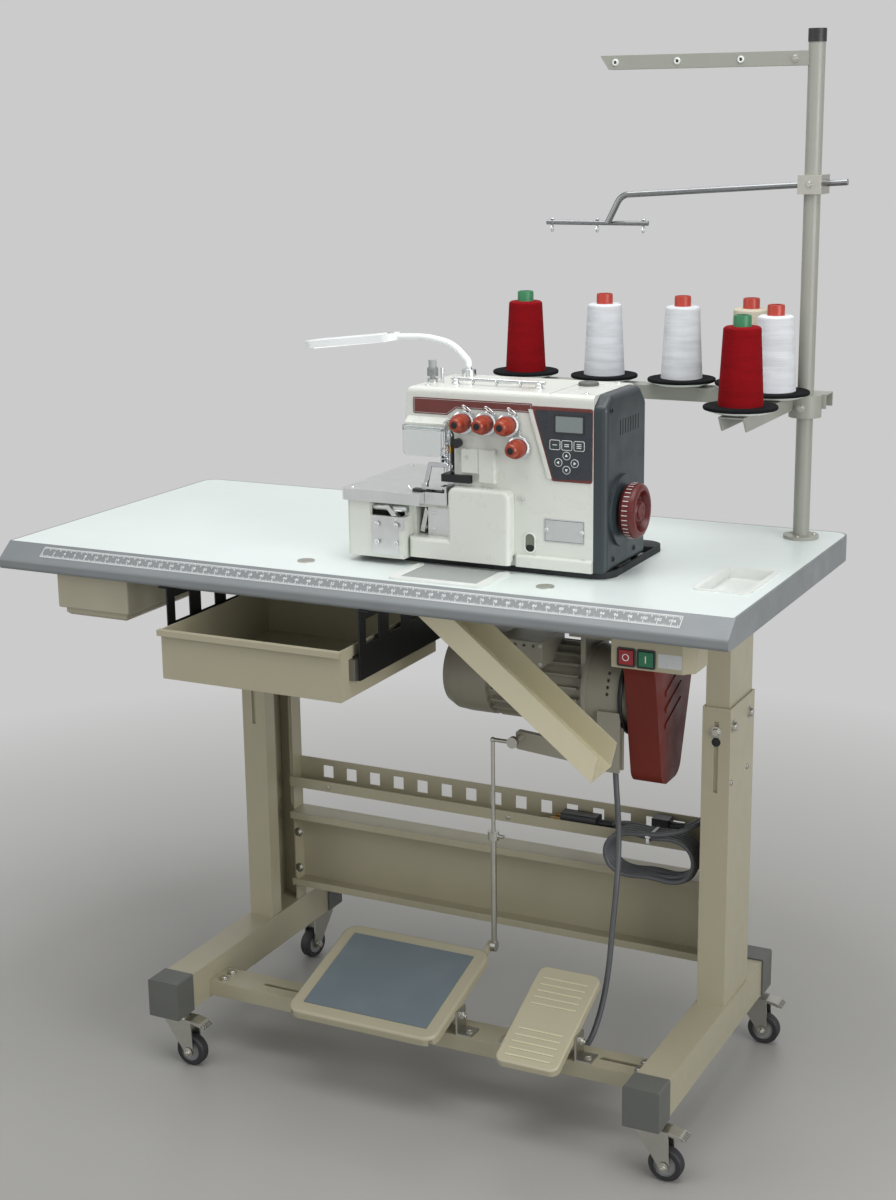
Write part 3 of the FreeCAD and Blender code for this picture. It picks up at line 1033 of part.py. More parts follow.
def make_machine_frame():
    """The hollow casting: bed, column and arm in one, open below, with the looper room and its bores."""
    casting = new_body("casting")
    pad(casting, "XZ", "head_front", "head_rear - head_front",
        [("head_left", HEAD_BOTTOM), ("head_right", HEAD_BOTTOM), ("head_right", "head_top"),
         ("arm_left", "head_top"),
         ("arm_left - 4", "arm_bottom + 20"), ("arm_left", "arm_bottom"), ("column_left", "arm_bottom"),
         ("column_left", "bed_top"), ("head_left", "bed_top")])
    top = size_of("head_top") - 1
    low = size_of("bed_top") + 1
    round_edges(casting, "8", lambda edge: along("y")(edge) and low < edge.CenterOfMass.z < top)
    pad(casting, "XZ", "bed_front", "head_front - bed_front",
        rect("head_left", HEAD_BOTTOM, "bed_right", "bed_top"))
    pad(casting, "XZ", "head_rear", "bed_rear - head_rear",
        rect("head_left", HEAD_BOTTOM, "column_left", "bed_top"))
    left = size_of("head_left")
    round_edges(casting, "8", lambda edge: along("z")(edge) and edge.CenterOfMass.x < left + 1)
    pad(casting, "YZ", "nose_left", "nose_right - nose_left",
        [("head_front - nose_proud", "arm_bottom"), ("head_front + 1", "arm_bottom"),
         ("head_front + 1", "arm_bottom + nose_tall"), ("head_front", "arm_bottom + nose_tall"),
         ("head_front - nose_proud", "arm_bottom + nose_tall - nose_slope")])
    pad(casting, "XZ", "head_front - boss_proud", "boss_proud + 1",
        [("boss_left", "boss_step"), ("boss_seam", "boss_step"), ("boss_seam", "boss_bottom"),
         ("boss_right", "boss_bottom"), ("boss_right", "boss_top"), ("boss_left", "boss_top")])
    front = size_of("head_front") - size_of("boss_proud")
    round_edges(casting, "2", lambda edge: edge.BoundBox.YMax < front + 1e-3
                and edge.BoundBox.XMin > size_of("boss_left") - 1)
    pad(casting, "XZ", "head_front - 6", "7", rect("looper_cover_right + 4", HEAD_BOTTOM, "head_right",
                                                   HEAD_BOTTOM + " + foot_tall"))
    foot_front = size_of("head_front") - 6
    foot_top = size_of("table_height") + size_of("seal_thick") + size_of("foot_tall")
    round_edges(casting, "4", lambda edge: abs(edge.CenterOfMass.y - foot_front) < 1e-3
                and abs(edge.CenterOfMass.z - foot_top) < 1e-3)
    pad(casting, "XZ", "head_front - ridge", "ridge + 1",
        [("panel_left - 9", "panel_top"), ("panel_left - 3", "panel_top"), ("panel_left + 27", "panel_bottom"),
         ("panel_left + 21", "panel_bottom")])
    pocket(casting, "XZ", "head_front - boss_proud", "seam",
           rect("boss_seam - seam / 2", "boss_step", "boss_seam + seam / 2", "boss_top"),
           circle("boss_left + 9", "boss_top - 13", "2.5 * seam"))
    pocket(casting, "XZ", "head_front", "ridge",
           oval("window_x", "window_z", "window_radius", "window_half_tall"))
    pocket(casting, "XZ", "head_front", "looper_depth",
           [("looper_left", "looper_bottom"), ("looper_right", "looper_bottom"),
            ("looper_right", "looper_cover_top - 8"), ("column_left + 6", "looper_cover_top - 8"),
            ("column_left + 6", "bed_top - 8"), ("looper_left", "bed_top - 8")])
    room_rear = "head_front + looper_depth + frame_wall"
    back = "head_rear - frame_wall"
    bed_back = "bed_rear - frame_wall"
    bed_rise = "bed_top - frame_wall - " + HEAD_BOTTOM
    column_rise = "head_top - frame_wall - " + HEAD_BOTTOM
    pocket(casting, "XY", HEAD_BOTTOM, bed_rise,
           rect("head_left + frame_wall", "bed_front + frame_wall", "bed_right - frame_wall", bed_back),
           rect("bed_right", room_rear, "column_left", bed_back))
    pocket(casting, "XY", HEAD_BOTTOM, column_rise,
           rect("column_left + frame_wall", room_rear, "looper_right", back),
           rect("looper_right + 2 * frame_wall", "head_front + frame_wall", "head_right - frame_wall", back))
    pocket(casting, "XZ", "bed_front", "recess_depth",
           rect("recess_left", "recess_bottom", "bed_right + 1", "bed_top + 1"))
    pocket(casting, "XY", "arm_bottom", "head_top - arm_bottom - 6",
           circle("needle_x", "needle_y", "needle_bar_radius + run_gap"),
           circle("needle_x", "presser_y", "presser_radius + run_gap"))
    pocket(casting, "YZ", "shaft_left", "head_right - shaft_left",
           circle("shaft_y", "shaft_z", "shaft_radius + run_gap"))
    keep(casting, "machine_frame")


def make_head_covers():
    """Top cover, hollow end cover with its boss and louvres, control panel and hinged looper cover."""
    lid = new_body("top_lid")
    pad(lid, "XY", "head_top", "cover_top", rect("arm_left", "head_front", "head_right", "head_rear"))
    top = size_of("head_top") + size_of("cover_top")
    round_edges(lid, "cover_round", lambda edge: abs(edge.BoundBox.ZMin - top) < 1e-3
                and edge.CenterOfMass.x < size_of("head_right") - 1)
    pocket(lid, "XY", "head_top", "cover_top - cover_wall",
           rect("arm_left + cover_wall", "head_front + cover_wall",
                                                                "head_right - cover_wall",
                                                                "head_rear - cover_wall"))
    pocket(lid, "YZ", "panel_left + 21", "1.5", rect("head_front - 1", top - 1.5, "head_rear + 1", top + 1))
    keep(lid, "top_cover")

    def end_outline(inset):
        base = HEAD_BOTTOM + " + %s" % inset
        high = "head_top + cover_top - %s" % inset
        front = "head_front + %s" % inset
        rear = "head_rear - %s" % inset
        return [(front, base), (rear, base), (rear, high + " - 24"), (rear + " - 24", high),
                (front + " + 24", high),
                (front, high + " - 16")]

    end = new_body("end_shell")
    pad(end, "YZ", "head_right", "end_thick", end_outline("0"))
    round_edges(end, "12", lambda edge: along("x")(edge) and edge.CenterOfMass.z > size_of("head_top") - 30)
    outer = size_of("head_right") + size_of("end_thick")
    round_edges(end, "end_round", lambda edge: abs(edge.BoundBox.XMin - outer) < 1e-3
                and edge.CenterOfMass.z > size_of("table_height") + 10)
    pocket(end, "YZ", "head_right", "end_thick - end_wall", end_outline("end_wall"))
    pad(end, "YZ", outer, "boss_tall", circle("shaft_y", "shaft_z", "boss_radius"))
    pocket(end, "YZ", "head_right", "end_thick + boss_tall", circle("shaft_y", "shaft_z", "shaft_radius + 2"))
    pocket(end, "XY", HEAD_BOTTOM, "end_wall", BELT_SLOT)
    louvre = pocket(end, "YZ", outer - 4, "5", rect("shaft_y - 10", "panel_top - 38", "shaft_y - 7",
                                                    "panel_top - 16"))
    repeat(end, louvre, "LinearPattern", "y", Length="70", Occurrences="8")
    keep(end, "end_cover")

    panel = new_body("panel_plate")
    pad(panel, "XZ", "head_front - panel_thick", "panel_thick",
        [("panel_left", "panel_top"), ("head_right - 1", "panel_top"), ("head_right - 2", "panel_bottom + 2"),
         ("panel_left + 30", "panel_bottom")])
    round_edges(panel, "5", along("y"))
    keep(panel, "control_panel")

    cover = new_body("looper_shell")
    back = "head_front - body_gap"
    front = back + " - looper_cover_thick"
    inside_corner = ("looper_cover_left", "looper_strip_top")
    pad(cover, "XZ", front, "looper_cover_thick",
        [("looper_strip_left", "looper_cover_bottom"), ("looper_cover_right", "looper_cover_bottom"),
         ("looper_cover_right", "looper_cover_top"), ("looper_cover_left", "looper_cover_top"), inside_corner,
         ("looper_strip_left", "looper_strip_top")])
    face = size_of("head_front") - size_of("body_gap") - size_of("looper_cover_thick")
    round_edges(cover,
                "12", lambda edge: along("y")(edge) and edge.CenterOfMass.z > size_of("looper_strip_top") + 1)
    round_edges(cover, "6", lambda edge: edge.BoundBox.YMax < face + 1e-3
                and edge.CenterOfMass.z > size_of("looper_cover_bottom") + 1)
    wall = "looper_cover_wall"
    pocket(cover, "XZ", front + " + 2 * " + wall, "looper_cover_thick",
           [("looper_strip_left + " + wall, "looper_cover_bottom - 1"),
            ("looper_cover_right - " + wall, "looper_cover_bottom - 1"),
            ("looper_cover_right - " + wall, "looper_cover_top - 2 * " + wall),
            ("looper_cover_left + " + wall, "looper_cover_top - 2 * " + wall),
            ("looper_cover_left + " + wall, "looper_strip_top - " + wall),
            ("looper_strip_left + " + wall, "looper_strip_top - " + wall)])
    pocket(cover, "YZ", "looper_strip_left", "looper_cover_right - looper_strip_left",
           rect("looper_hinge_y - 0.75 * looper_pin_radius", "looper_cover_bottom - 1", "head_front",
                "looper_hinge_z + 3 * looper_pin_radius"))
    pocket(cover, "YZ", "looper_strip_left", "looper_cover_right - looper_strip_left",
           rect("looper_hinge_y - 4 * looper_pin_radius", "looper_cover_bottom - 1", "head_front",
                "looper_hinge_z - looper_pin_radius"))
    barrel_left = "looper_cover_left + 12"
    barrel_length = "looper_cover_right - looper_cover_left - 24"
    pad(cover, "YZ", barrel_left, barrel_length,
        circle("looper_hinge_y", "looper_hinge_z", "2 * looper_pin_radius"))
    pad(cover, "YZ", barrel_left, barrel_length,
        rect(front + " + 1", "looper_hinge_z - looper_pin_radius", "looper_hinge_y - 1.5 * looper_pin_radius",
             "looper_hinge_z + looper_pin_radius"))
    pocket(cover, "YZ", barrel_left, barrel_length, circle("looper_hinge_y", "looper_hinge_z",
                                                           "looper_pin_radius + run_gap"))
    keep(cover, "looper_cover")


PLATE_TOP = "(bed_top + plate_thick)"
PLATE_PIVOT = ("plate_left + 20", "plate_rear - 14")


def make_stitch_parts():
    """Cloth plate, needle plate with feed dogs and knife, presser foot, needle bar and clear guard."""
    plate = new_body("cloth_steel")
    pad(plate, "XY", "bed_top + body_gap", "plate_thick - body_gap",
        rect("plate_left", "plate_front", "plate_right",
                                                                        "plate_rear"))
    round_edges(plate, "6", lambda edge: along("z")(edge) and edge.CenterOfMass.x < 0)
    pocket(plate, "XY", "bed_top", "plate_thick + 1", circle(*PLATE_PIVOT, "hinge_radius + run_gap"))
    keep(plate, "cloth_plate")

    needle_plate = new_body("throat_plate")
    right = "column_left - 6"
    pad(needle_plate, "XY", "bed_top", "plate_thick", rect("plate_right + body_gap", "bed_front + 15", right,
                                                           "presser_y + 8"))
    pocket(needle_plate, "XY", "bed_top", "plate_thick",
           circle("needle_x", "needle_y", "needle_bar_radius + 0.5"))
    slots = [rect("needle_x + %d" % x, "needle_y + 6", "needle_x + %d" % (x + 3), "needle_y + 26") for x in (-9,
                                                                                                             -2,
                                                                                                             5)]
    pocket(needle_plate, "XY", PLATE_TOP + " - 6", "6", *slots)
    dogs = [box("feed_dog_%d" % i, "needle_x + %.1f" % (x + 0.5), "needle_y + 7", PLATE_TOP + " - 6", "2", "18",
                "6")
            for i, x in enumerate((-9, -2, 5))]
    knife = box("knife", right + " - 5", "bed_front + 18", PLATE_TOP, "3", "26", "9")
    pivot = bar("plate_pivot", "z", *PLATE_PIVOT, "bed_top", "hinge_radius", "plate_thick")
    chip_plate = box("chip_plate", "looper_left + 18", "head_front + 3", "looper_bottom",
                     "looper_cover_left - looper_left - 19", "1.5", "bed_top - 8 - looper_bottom")
    rocker = new_body("looper_rocker")
    pad(rocker, "XZ", "head_front + 8", "6", [("looper_left + 2", "looper_bottom + 4"),
                                              ("looper_left + 9", "looper_bottom + 2"),
                                              ("looper_left + 16", "bed_top - 16"),
                                              ("looper_left + 11", "bed_top - 9")])
    rocker_shaft = bar("rocker_shaft", "y", "looper_left + 7", "head_front + 12", "looper_bottom + 10", "5",
                       "looper_depth - 12")
    front_plate = new_body("bed_front_plate")
    pad(front_plate, "XZ", "bed_front - 1.5", "1.5",
        [("recess_left + 4", HEAD_BOTTOM + " + 5"), ("bed_right - 8", HEAD_BOTTOM + " + 5"),
         ("bed_right - 8", "recess_bottom - 18"), ("bed_right + 1", "recess_bottom - 18"),
         ("bed_right + 1", "recess_bottom + 1"), ("recess_left + 4", "recess_bottom + 1")])
    feed_lever = new_body("feed_lever")
    pad(feed_lever, "XZ", "bed_front + 3", "12",
        [("bed_right - 26", "bed_top - 4"), ("bed_right - 34", "bed_top - 4"),
         ("bed_right - 21", "recess_bottom + 1"),
         ("bed_right - 12", "recess_bottom + 1")])
    feed_shaft = bar("feed_shaft", "x", "recess_left", "bed_front + 14", "recess_bottom + 11", "5",
                     "bed_right - recess_left")
    feed_screw = bar("feed_screw", "y", "bed_right - 16", "bed_front - 5", "recess_bottom - 4", "4.5", "3.5")
    latch = fuse("latch", box("latch_left", "needle_x + 8", "head_front - boss_proud", "latch_bottom",
                              "column_left - needle_x - 8.3", "boss_proud + 18", "latch_top - latch_bottom"),
                 box("latch_right", "column_left - 1", "head_front - boss_proud", "latch_bottom",
                     "boss_left + 16 - column_left", "boss_proud - body_gap", "latch_top - latch_bottom"))
    ears = [box("looper_ear_%d" % i, x, "looper_hinge_y - 2 * looper_pin_radius",
                "looper_hinge_z - 2 * looper_pin_radius", "4",
                "head_front - looper_hinge_y + 2 * looper_pin_radius",
                "4 * looper_pin_radius")
            for i, x in enumerate(("looper_cover_left + 7", "looper_cover_right - 11"))]
    pin = bar("looper_pin", "x", "looper_cover_left + 7", "looper_hinge_y", "looper_hinge_z",
              "looper_pin_radius",
              "looper_cover_right - looper_cover_left - 14")
    keep(group("stitch_set", needle_plate, *dogs, knife, pivot, chip_plate,
               fuse("rocker_set", rocker, rocker_shaft),
               fuse("front_set", front_plate, feed_screw), fuse("feed_set", feed_lever, feed_shaft), latch,
               fuse("looper_hinge", *ears, pin)), "needle_plate")

    foot = new_body("foot_sole")
    sole = PLATE_TOP + " + body_gap"
    toe = "bed_front + 12"
    heel = "presser_y + 6"
    pad(foot, "YZ", "needle_x - 11", "24",
        [(toe, sole + " + 5"), (toe + " + 8", sole), (heel, sole), (heel, sole + " + 4"),
         ("presser_y - 6", sole + " + 4"),
         ("needle_y + 10", sole + " + 3.2"), (toe + " + 9", sole + " + 3.2"), (toe + " + 1", sole + " + 8")])
    pad(foot, "YZ", "needle_x - 5", "10",
        [(heel, sole + " + 3"), (heel, sole + " + 34"), ("presser_y - 6", sole + " + 34"),
         ("presser_y - 6", sole + " + 16"),
         ("presser_y - 14", sole + " + 3")])
    pad(foot, "XZ", "presser_y - 10", "4",
        [("needle_x - 7", sole + " + 14"), ("needle_x + 1", sole + " + 14"), ("needle_x + 1", sole + " + 32"),
         ("needle_x + 20", sole + " + 32"), ("needle_x + 20", sole + " + 37"), ("needle_x - 2", sole + " + 37"),
         ("needle_x - 7", sole + " + 32")])
    pad(foot, "XZ", "presser_y - 7", "13", rect("needle_x - 5", sole + " + 30", "needle_x + 5", sole + " + 37"))
    pad(foot, "XY", sole + " + 34", "80", circle("needle_x", "presser_y", "presser_radius"))
    pocket(foot, "XY", sole, "8.2", rect("needle_x - 5", "needle_y - 8", "needle_x + 5", "needle_y + 8"))
    keep(foot, "presser_foot")

    stem = new_body("needle_stem")
    clamp_z = "(%s + 37)" % PLATE_TOP
    pad(stem, "XY", clamp_z, "16", circle("needle_x", "needle_y", "2 * needle_bar_radius"))
    pad(stem, "XY", clamp_z + " + 16", "66", circle("needle_x", "needle_y", "needle_bar_radius"))
    pad(stem, "XY", clamp_z + " - 24", "24", circle("needle_x - 2", "needle_y", "0.9"),
        circle("needle_x + 2", "needle_y", "0.9"))
    keep(stem, "needle_bar")

    guard = new_body("clear_guard")
    back = "guard_hinge_y - 7"
    pad(guard, "XZ", back + " - guard_plate", "guard_plate", rect("guard_x", "guard_hinge_z - guard_tall",
                                                                  "guard_x + guard_width", "guard_hinge_z"))
    round_edges(guard,
                "7", lambda edge: along("y")(edge) and edge.CenterOfMass.z < size_of("guard_hinge_z") - 1)
    barrel = "looper_pin_radius + 1.5"
    pad(guard, "XZ", back + " - 0.5", "7.5", rect("guard_x", "guard_hinge_z - guard_plate",
                                                  "guard_x + guard_width",
                                                 "guard_hinge_z"))
    pad(guard, "YZ", "guard_x", "guard_width", circle("guard_hinge_y", "guard_hinge_z", barrel))
    pocket(guard, "YZ", "guard_x", "guard_width", circle("guard_hinge_y", "guard_hinge_z",
                                                         "looper_pin_radius + run_gap"))
    keep(guard, "needle_guard")


def make_hand_wheel():
    """A dished hand wheel and the belt pulley on the main shaft."""
    face = "head_right + end_thick + boss_tall + wheel_gap"
    rim = "hand_wheel_radius"
    width = "hand_wheel_width"
    dish = turned("wheel_dish", "x", [("0", "shaft_radius"), ("0", "0.65 * " + rim), ("2", rim + " - 2"),
                                      ("6", rim),
                                      (width + " - 6", rim), (width + " - 2", rim + " - 2"),
                                      (width, rim + " - 6"),
                                      (width, rim + " - 10"), ("0.55 * " + width, rim + " - 14"),
                                      ("0.45 * " + width, "shaft_radius + 12"),
                                      (width + " - 6", "shaft_radius + 9"),
                                      (width + " - 3", "shaft_radius + 6"), (width + " - 3", "shaft_radius")])
    place(dish, face, "shaft_y", "shaft_z")
    shaft = bar("main_shaft", "x", "shaft_left + 1", "shaft_y", "shaft_z", "shaft_radius",
                face + " + hand_wheel_width - 3 - shaft_left - 1")
    wheel = place(pulley("head_wheel", "head_pulley_radius", "shaft_radius"), "belt_x", "shaft_y", "shaft_z")
    keep(group("hand_wheel_set", dish, shaft, wheel), "hand_wheel")


KNOB_PLACES = (("column_left + 18.5", "knob_z"), ("column_left + 54", "knob_z"),
               ("column_left + 89.5", "knob_z"), ("column_left + 106.5", "knob_low_z"))


def make_thread_path():
    """Four tension units, the wire guides on top, the presser regulator and the guard's hinge."""
    fittings = []
    for i, (x, z) in enumerate(KNOB_PLACES, start=1):
        post = bar("tension_post_%d" % i, "y", x, "head_front - 38", z, "post_radius", "38")
        discs = bar("tension_disc_%d" % i, "y", x, "head_front - 9", z, "knob_radius + 3.5", "4")
        clip = bar("tension_clip_%d" % i, "z", x, "head_front - 4", z, "1.2", "24")
        fittings.append(fuse("tension_%d" % i, post, discs, clip))
        knob = turned("knob_%d" % i, "y", [("post_radius + run_gap", "0"), ("0.55 * knob_radius", "0"),
                                           ("0.7 * knob_radius", "2"),
                                           ("0.78 * knob_radius", "0.5 * knob_length"),
                                           ("knob_radius", "0.55 * knob_length"),
                                           ("knob_radius", "knob_length"),
                                           ("post_radius + run_gap", "knob_length")])
        keep(place(knob, x, "head_front - 12 - knob_length", z), "tension_knob_%d" % i)
    top = "(head_top + cover_top)"
    posts = [bar("guide_post_%d" % i, "z", x, "top_wire_y", top, "2.5", "10")
             for i, x in enumerate(("arm_left + 58", "arm_left + 191"))]
    rod = bar("guide_wire", "x", "arm_left + 51", "top_wire_y", top + " + 8", "2.5", "150")
    regulator = [bar("regulator_%d" % i, "z", "arm_left + 16", "presser_y", "%s + %s" % (top, rise), radius,
                     tall)
                 for i, (rise, radius, tall) in enumerate((("0", "8", "5"), ("5", "4", "6"),
                                                           ("11", "6", "22")))]
    lever = bar("release_lever", "z", "arm_left + 32", "presser_y", top, "2.5", "22")
    hinge = [box("guard_ear_%d" % i, x, "guard_hinge_y - 4", "guard_hinge_z - 4", "3",
                 "head_front - nose_proud - guard_hinge_y + 4", "8")
             for i, x in enumerate(("guard_x - 3 - body_gap", "guard_x + guard_width + body_gap"))]
    pin = bar("guard_pin", "x", "guard_x - 3", "guard_hinge_y", "guard_hinge_z", "looper_pin_radius",
              "guard_width + 6")
    looper_bar = fuse("looper_bar", bar("guide_bar", "z", "guide_bar_x", "guide_bar_y", "latch_top",
                                        "guide_bar_radius",
                                        "arm_bottom - latch_top"),
                      bar("guide_collar", "z", "guide_bar_x", "guide_bar_y", "latch_top + 30",
                          "1.6 * guide_bar_radius",
                          "10"))
    stop = bar("side_stop", "y", "column_left + 7", "head_front - boss_proud", "knob_low_z", "7", "boss_proud")
    keep(group("thread_path", *fittings, fuse("top_guide", *posts, rod), fuse("regulator", *regulator), lever,
               looper_bar, stop, fuse("guard_hinge", *hinge, pin)), "thread_guides")


def make_lamp():
    """A flat work lamp on a curved neck behind the top cover, its head leaning down to the left."""
    top = size_of("head_top") + size_of("cover_top")
    x = size_of("lamp_x")
    y = size_of("lamp_y")
    z = size_of("lamp_z")
    reach = size_of("lamp_reach")
    foot = bar("lamp_foot", "z", "lamp_x", "lamp_y", "head_top + cover_top", "2.2 * lamp_neck_radius", "10")
    neck_path = bent_path(points_of([(x, y, top + 10), (x, y, top + 22), (x - 26, y, z - 8),
                                     (x - 0.57 * reach, y, z + 1), (x - reach - 4, y, z - 1)]))
    neck = shaped("lamp_neck", tube_along(neck_path, size_of("lamp_neck_radius")))
    head = new_body("lamp_head")
    pad(head, "XY", "-lamp_thick / 2", "lamp_thick",
        rect("-lamp_length", "-lamp_width / 2", "0", "lamp_width / 2"))
    round_edges(head, "0.45 * lamp_width", along("z"))
    place(head, "lamp_x - lamp_reach", "lamp_y", "lamp_z",
          FreeCAD.Rotation(FreeCAD.Vector(0, 1, 0), -size_of("lamp_tilt")))
    socket = shaped("lamp_socket", neck.Shape)
    keep(group("lamp_set", foot, neck, cut("lamp_casing", head, socket)), "work_lamp")


SPOOLS = (("57", "rear_arm_y"), ("196", "rear_arm_y"), ("328", "rear_arm_y"), ("440", "rear_arm_y"),
          ("front_arm_x", "178"), ("front_arm_x", "18"))


def channel_outline(centre, base, width, tall, wall):
    """An inverted pressed channel across one direction."""
    half = "(%s) / 2" % width
    top = "%s + %s" % (base, tall)
    return [("%s - %s" % (centre, half), base), ("%s - %s" % (centre, half), top),
            ("%s + %s" % (centre, half), top),
            ("%s + %s" % (centre, half), base), ("%s + %s - %s" % (centre, half, wall), base),
            ("%s + %s - %s" % (centre, half, wall), "%s - %s" % (top, wall)),
            ("%s - %s + %s" % (centre, half, wall), "%s - %s" % (top, wall)),
            ("%s - %s + %s" % (centre, half, wall), base)]


def make_thread_stand():
    """Pole, spool arms with pins, dishes and foam discs, and the two overhead guides."""
    pole = fuse("pole_tube", bar("pole_stem", "z", "pole_x", "pole_y", "table_height", "pole_radius",
                                 "pole_top - table_height"),
                bar("pole_flange", "z", "pole_x", "pole_y", "table_height", "2.2 * pole_radius", "5"))
    cap = bar("pole_cap_end", "z", "pole_x", "pole_y", "pole_top", "pole_radius + 1", "pole_cap")
    keep(group("pole_set", pole, cap), "thread_pole")

    rear = new_body("rear_arm")
    pad(rear, "YZ", "20", "pole_x + 10", channel_outline("rear_arm_y", "arm_z", "arm_width", "arm_tall",
                                                         "arm_wall"))
    pocket(rear, "XZ", "rear_arm_y - arm_width", "2 * arm_width",
           [("19", "arm_z - 1"), ("20 + arm_slant", "arm_z - 1"), ("19", "arm_z + arm_tall + 1")])
    front = new_body("front_arm")
    pad(front, "XZ", "-25", "rear_arm_y - arm_width / 2 + 25 + arm_wall",
        channel_outline("front_arm_x", "arm_z", "arm_width", "arm_tall", "arm_wall"))
    pocket(front, "YZ", "front_arm_x - arm_width", "2 * arm_width",
           [("-26", "arm_z - 1"), ("arm_slant - 25", "arm_z - 1"), ("-26", "arm_z + arm_tall + 1")])
    clamp = bar("arm_clamp", "z", "pole_x", "pole_y", "arm_z - 12", "2 * pole_radius", "arm_tall + 12")
    core = bar("arm_core", "z", "pole_x", "pole_y", "arm_z - 20", "pole_radius + run_gap", "arm_tall + 40")
    arms = cut("spool_arm_frame", fuse("spool_arm_whole", rear, front, clamp), core)
    top = "(arm_z + arm_tall)"
    pins = [bar("spool_pin_%d" % i, "z", x, y, top, "pin_radius", "pin_tall") for i,
            (x, y) in enumerate(SPOOLS)]
    keep(group("spool_arm_set", arms, *pins), "spool_arms")

    rests = []
    cones = []
    for i, (x, y) in enumerate(SPOOLS):
        dish = turned("dish_%d" % i, "z", [("pin_radius", "0"), ("0.24 * dish_radius", "0"),
                                           ("0.36 * dish_radius", "0.4 * dish_tall"),
                                           ("0.96 * dish_radius", "0.55 * dish_tall"),
                                           ("dish_radius", "0.7 * dish_tall"), ("dish_radius", "dish_tall"),
                                           ("pin_radius", "dish_tall")])
        foam = turned("foam_%d" % i, "z", [("pin_radius", "0"), ("foam_radius", "0"),
                                           ("foam_radius", "foam_thick"),
                                           ("pin_radius", "foam_thick")])
        rests += [place(dish, x, y, top), place(foam, x, y, top + " + dish_tall")]
        yarn = turned("yarn_%d" % i, "z", [("core_radius", "0"), ("cone_radius - 1", "0"), ("cone_radius", "4"),
                                           ("cone_top_radius", "cone_tall - 6"),
                                           ("cone_top_radius - 5", "cone_tall"),
                                           ("core_radius", "cone_tall")])
        core = turned("core_%d" % i, "z", [("core_radius - 3", "0"), ("core_radius", "0"),
                                           ("core_radius", "core_top"),
                                           ("core_radius - 2", "core_top + 2"),
                                           ("core_radius - 3", "core_top")])
        seat = top + " + dish_tall + foam_thick"
        cones += [place(yarn, x, y, seat), place(core, x, y, seat)]
    keep(group("spool_rest_set", *rests), "spool_rests")
    keep(group("cone_set", *cones), "thread_cones")


def make_thread_bars():
    """The strip with eyelets at the top of the pole, and the bent rod with its cross bar below it."""
    strip = new_body("guide_strip")
    depth = 18
    pad(strip, "YZ", "guide_arm_left", "pole_x - guide_arm_left",
        channel_outline("pole_y", "guide_arm_z", depth, "guide_arm_tall", "arm_wall"))
    pocket(strip, "XZ", "pole_y - %d" % depth, 2 * depth, [("guide_arm_left - 1", "guide_arm_z - 1"),
                                                         ("guide_arm_left + 14", "guide_arm_z - 1"),
                                                         ("guide_arm_left - 1",
                                                          "guide_arm_z + guide_arm_tall")])
    eyelet = pocket(strip, "XZ", "pole_y - %d" % depth, 2 * depth,
                    circle("guide_arm_left + 24", "guide_arm_z + guide_arm_tall / 2", "2.5"))
    repeat(strip, eyelet, "LinearPattern", "x", Length="200", Occurrences="3")
    stem = bar("strip_stem", "z", "pole_x", "pole_y", "guide_arm_z - 10", "pole_radius + run_gap",
               "guide_arm_tall + 20")
    side = size_of("pole_y") + size_of("pole_radius") + 1.3 * size_of("guide_rod_radius")
    pole_x = size_of("pole_x")
    rod_z = size_of("guide_rod_z")
    cross_z = size_of("cross_bar_z")
    path = bent_path(points_of([(pole_x + 48, side, rod_z + 3), (pole_x - 312, side, rod_z - 18),
                                (pole_x - 335, side, cross_z)]), 22)
    rod = shaped("guide_rod", tube_along(path, size_of("guide_rod_radius")))
    cross = bar("cross_bar", "x", "95", "pole_y + pole_radius + 2.3 * guide_rod_radius + cross_bar_radius",
                "cross_bar_z",
                "cross_bar_radius", "173")
    block = cut("rod_clamp", box("clamp_block", "pole_x - 18", "pole_y - 18", "guide_rod_z - 14", "36",
                                 "36 + 2 * guide_rod_radius", "28"),
                bar("clamp_stem", "z", "pole_x", "pole_y", "guide_rod_z - 20", "pole_radius + run_gap", "40"),
                shaped("clamp_rod", tube_along(path, size_of("guide_rod_radius") + size_of("run_gap"))))
    keep(group("thread_bar_set", cut("guide_arm", strip, stem), rod, cross, block), "thread_bars")


CABLE_ROUTE = [(318, 20, 538), (318, 20, 508), (325, 10, 468), (337, -10, 420), (344, -30, 370),
               (346, -46, 318),
               (345, -56, 268), (344, -62, 224), (342, -71, 184), (340, -86, 150), (337, -106, 122),
               (335, -128, 109),
               (335, -150, 109)]
LEAD_IN = [(262, 92, 383), (284, 92, 383), (306, 84, 394)]
LEAD_OUT = [(332, 21, 403), (364, 20, 406), (398, 22, 410), (432, 29, 420), (450, 46, 429), (452, 68, 431),
            (443, 84, 424), (426, 92, 410), (406, 93, 398), (384, 93, 398)]


def cable_route():
    """The pedal cable's route, stretched to reach from the motor's gland down to the foot bar."""
    low = CABLE_ROUTE[-1][2]
    stretch = (size_of("gland_z") - low) / (CABLE_ROUTE[0][2] - low)
    return [(x, y, low + (z - low) * stretch) for x, y, z in CABLE_ROUTE]


def hank_loop():
    """One loop of the hank from its top left corner: two runs that are drawn in, and two round ends."""
    run = size_of("hank_run") / 2
    bend = size_of("hank_bend")
    drawn = bend - size_of("hank_waist")
    ends = {way: [(way * (run + bend * math.cos(math.radians(a))), way * bend * math.sin(math.radians(a)))
                  for a in (90, 45, 0, -45, -90)] for way in (1, -1)}
    return ends[-1][-1:] + [(0, drawn)] + ends[1] + [(0, -drawn)] + ends[-1][:-1]


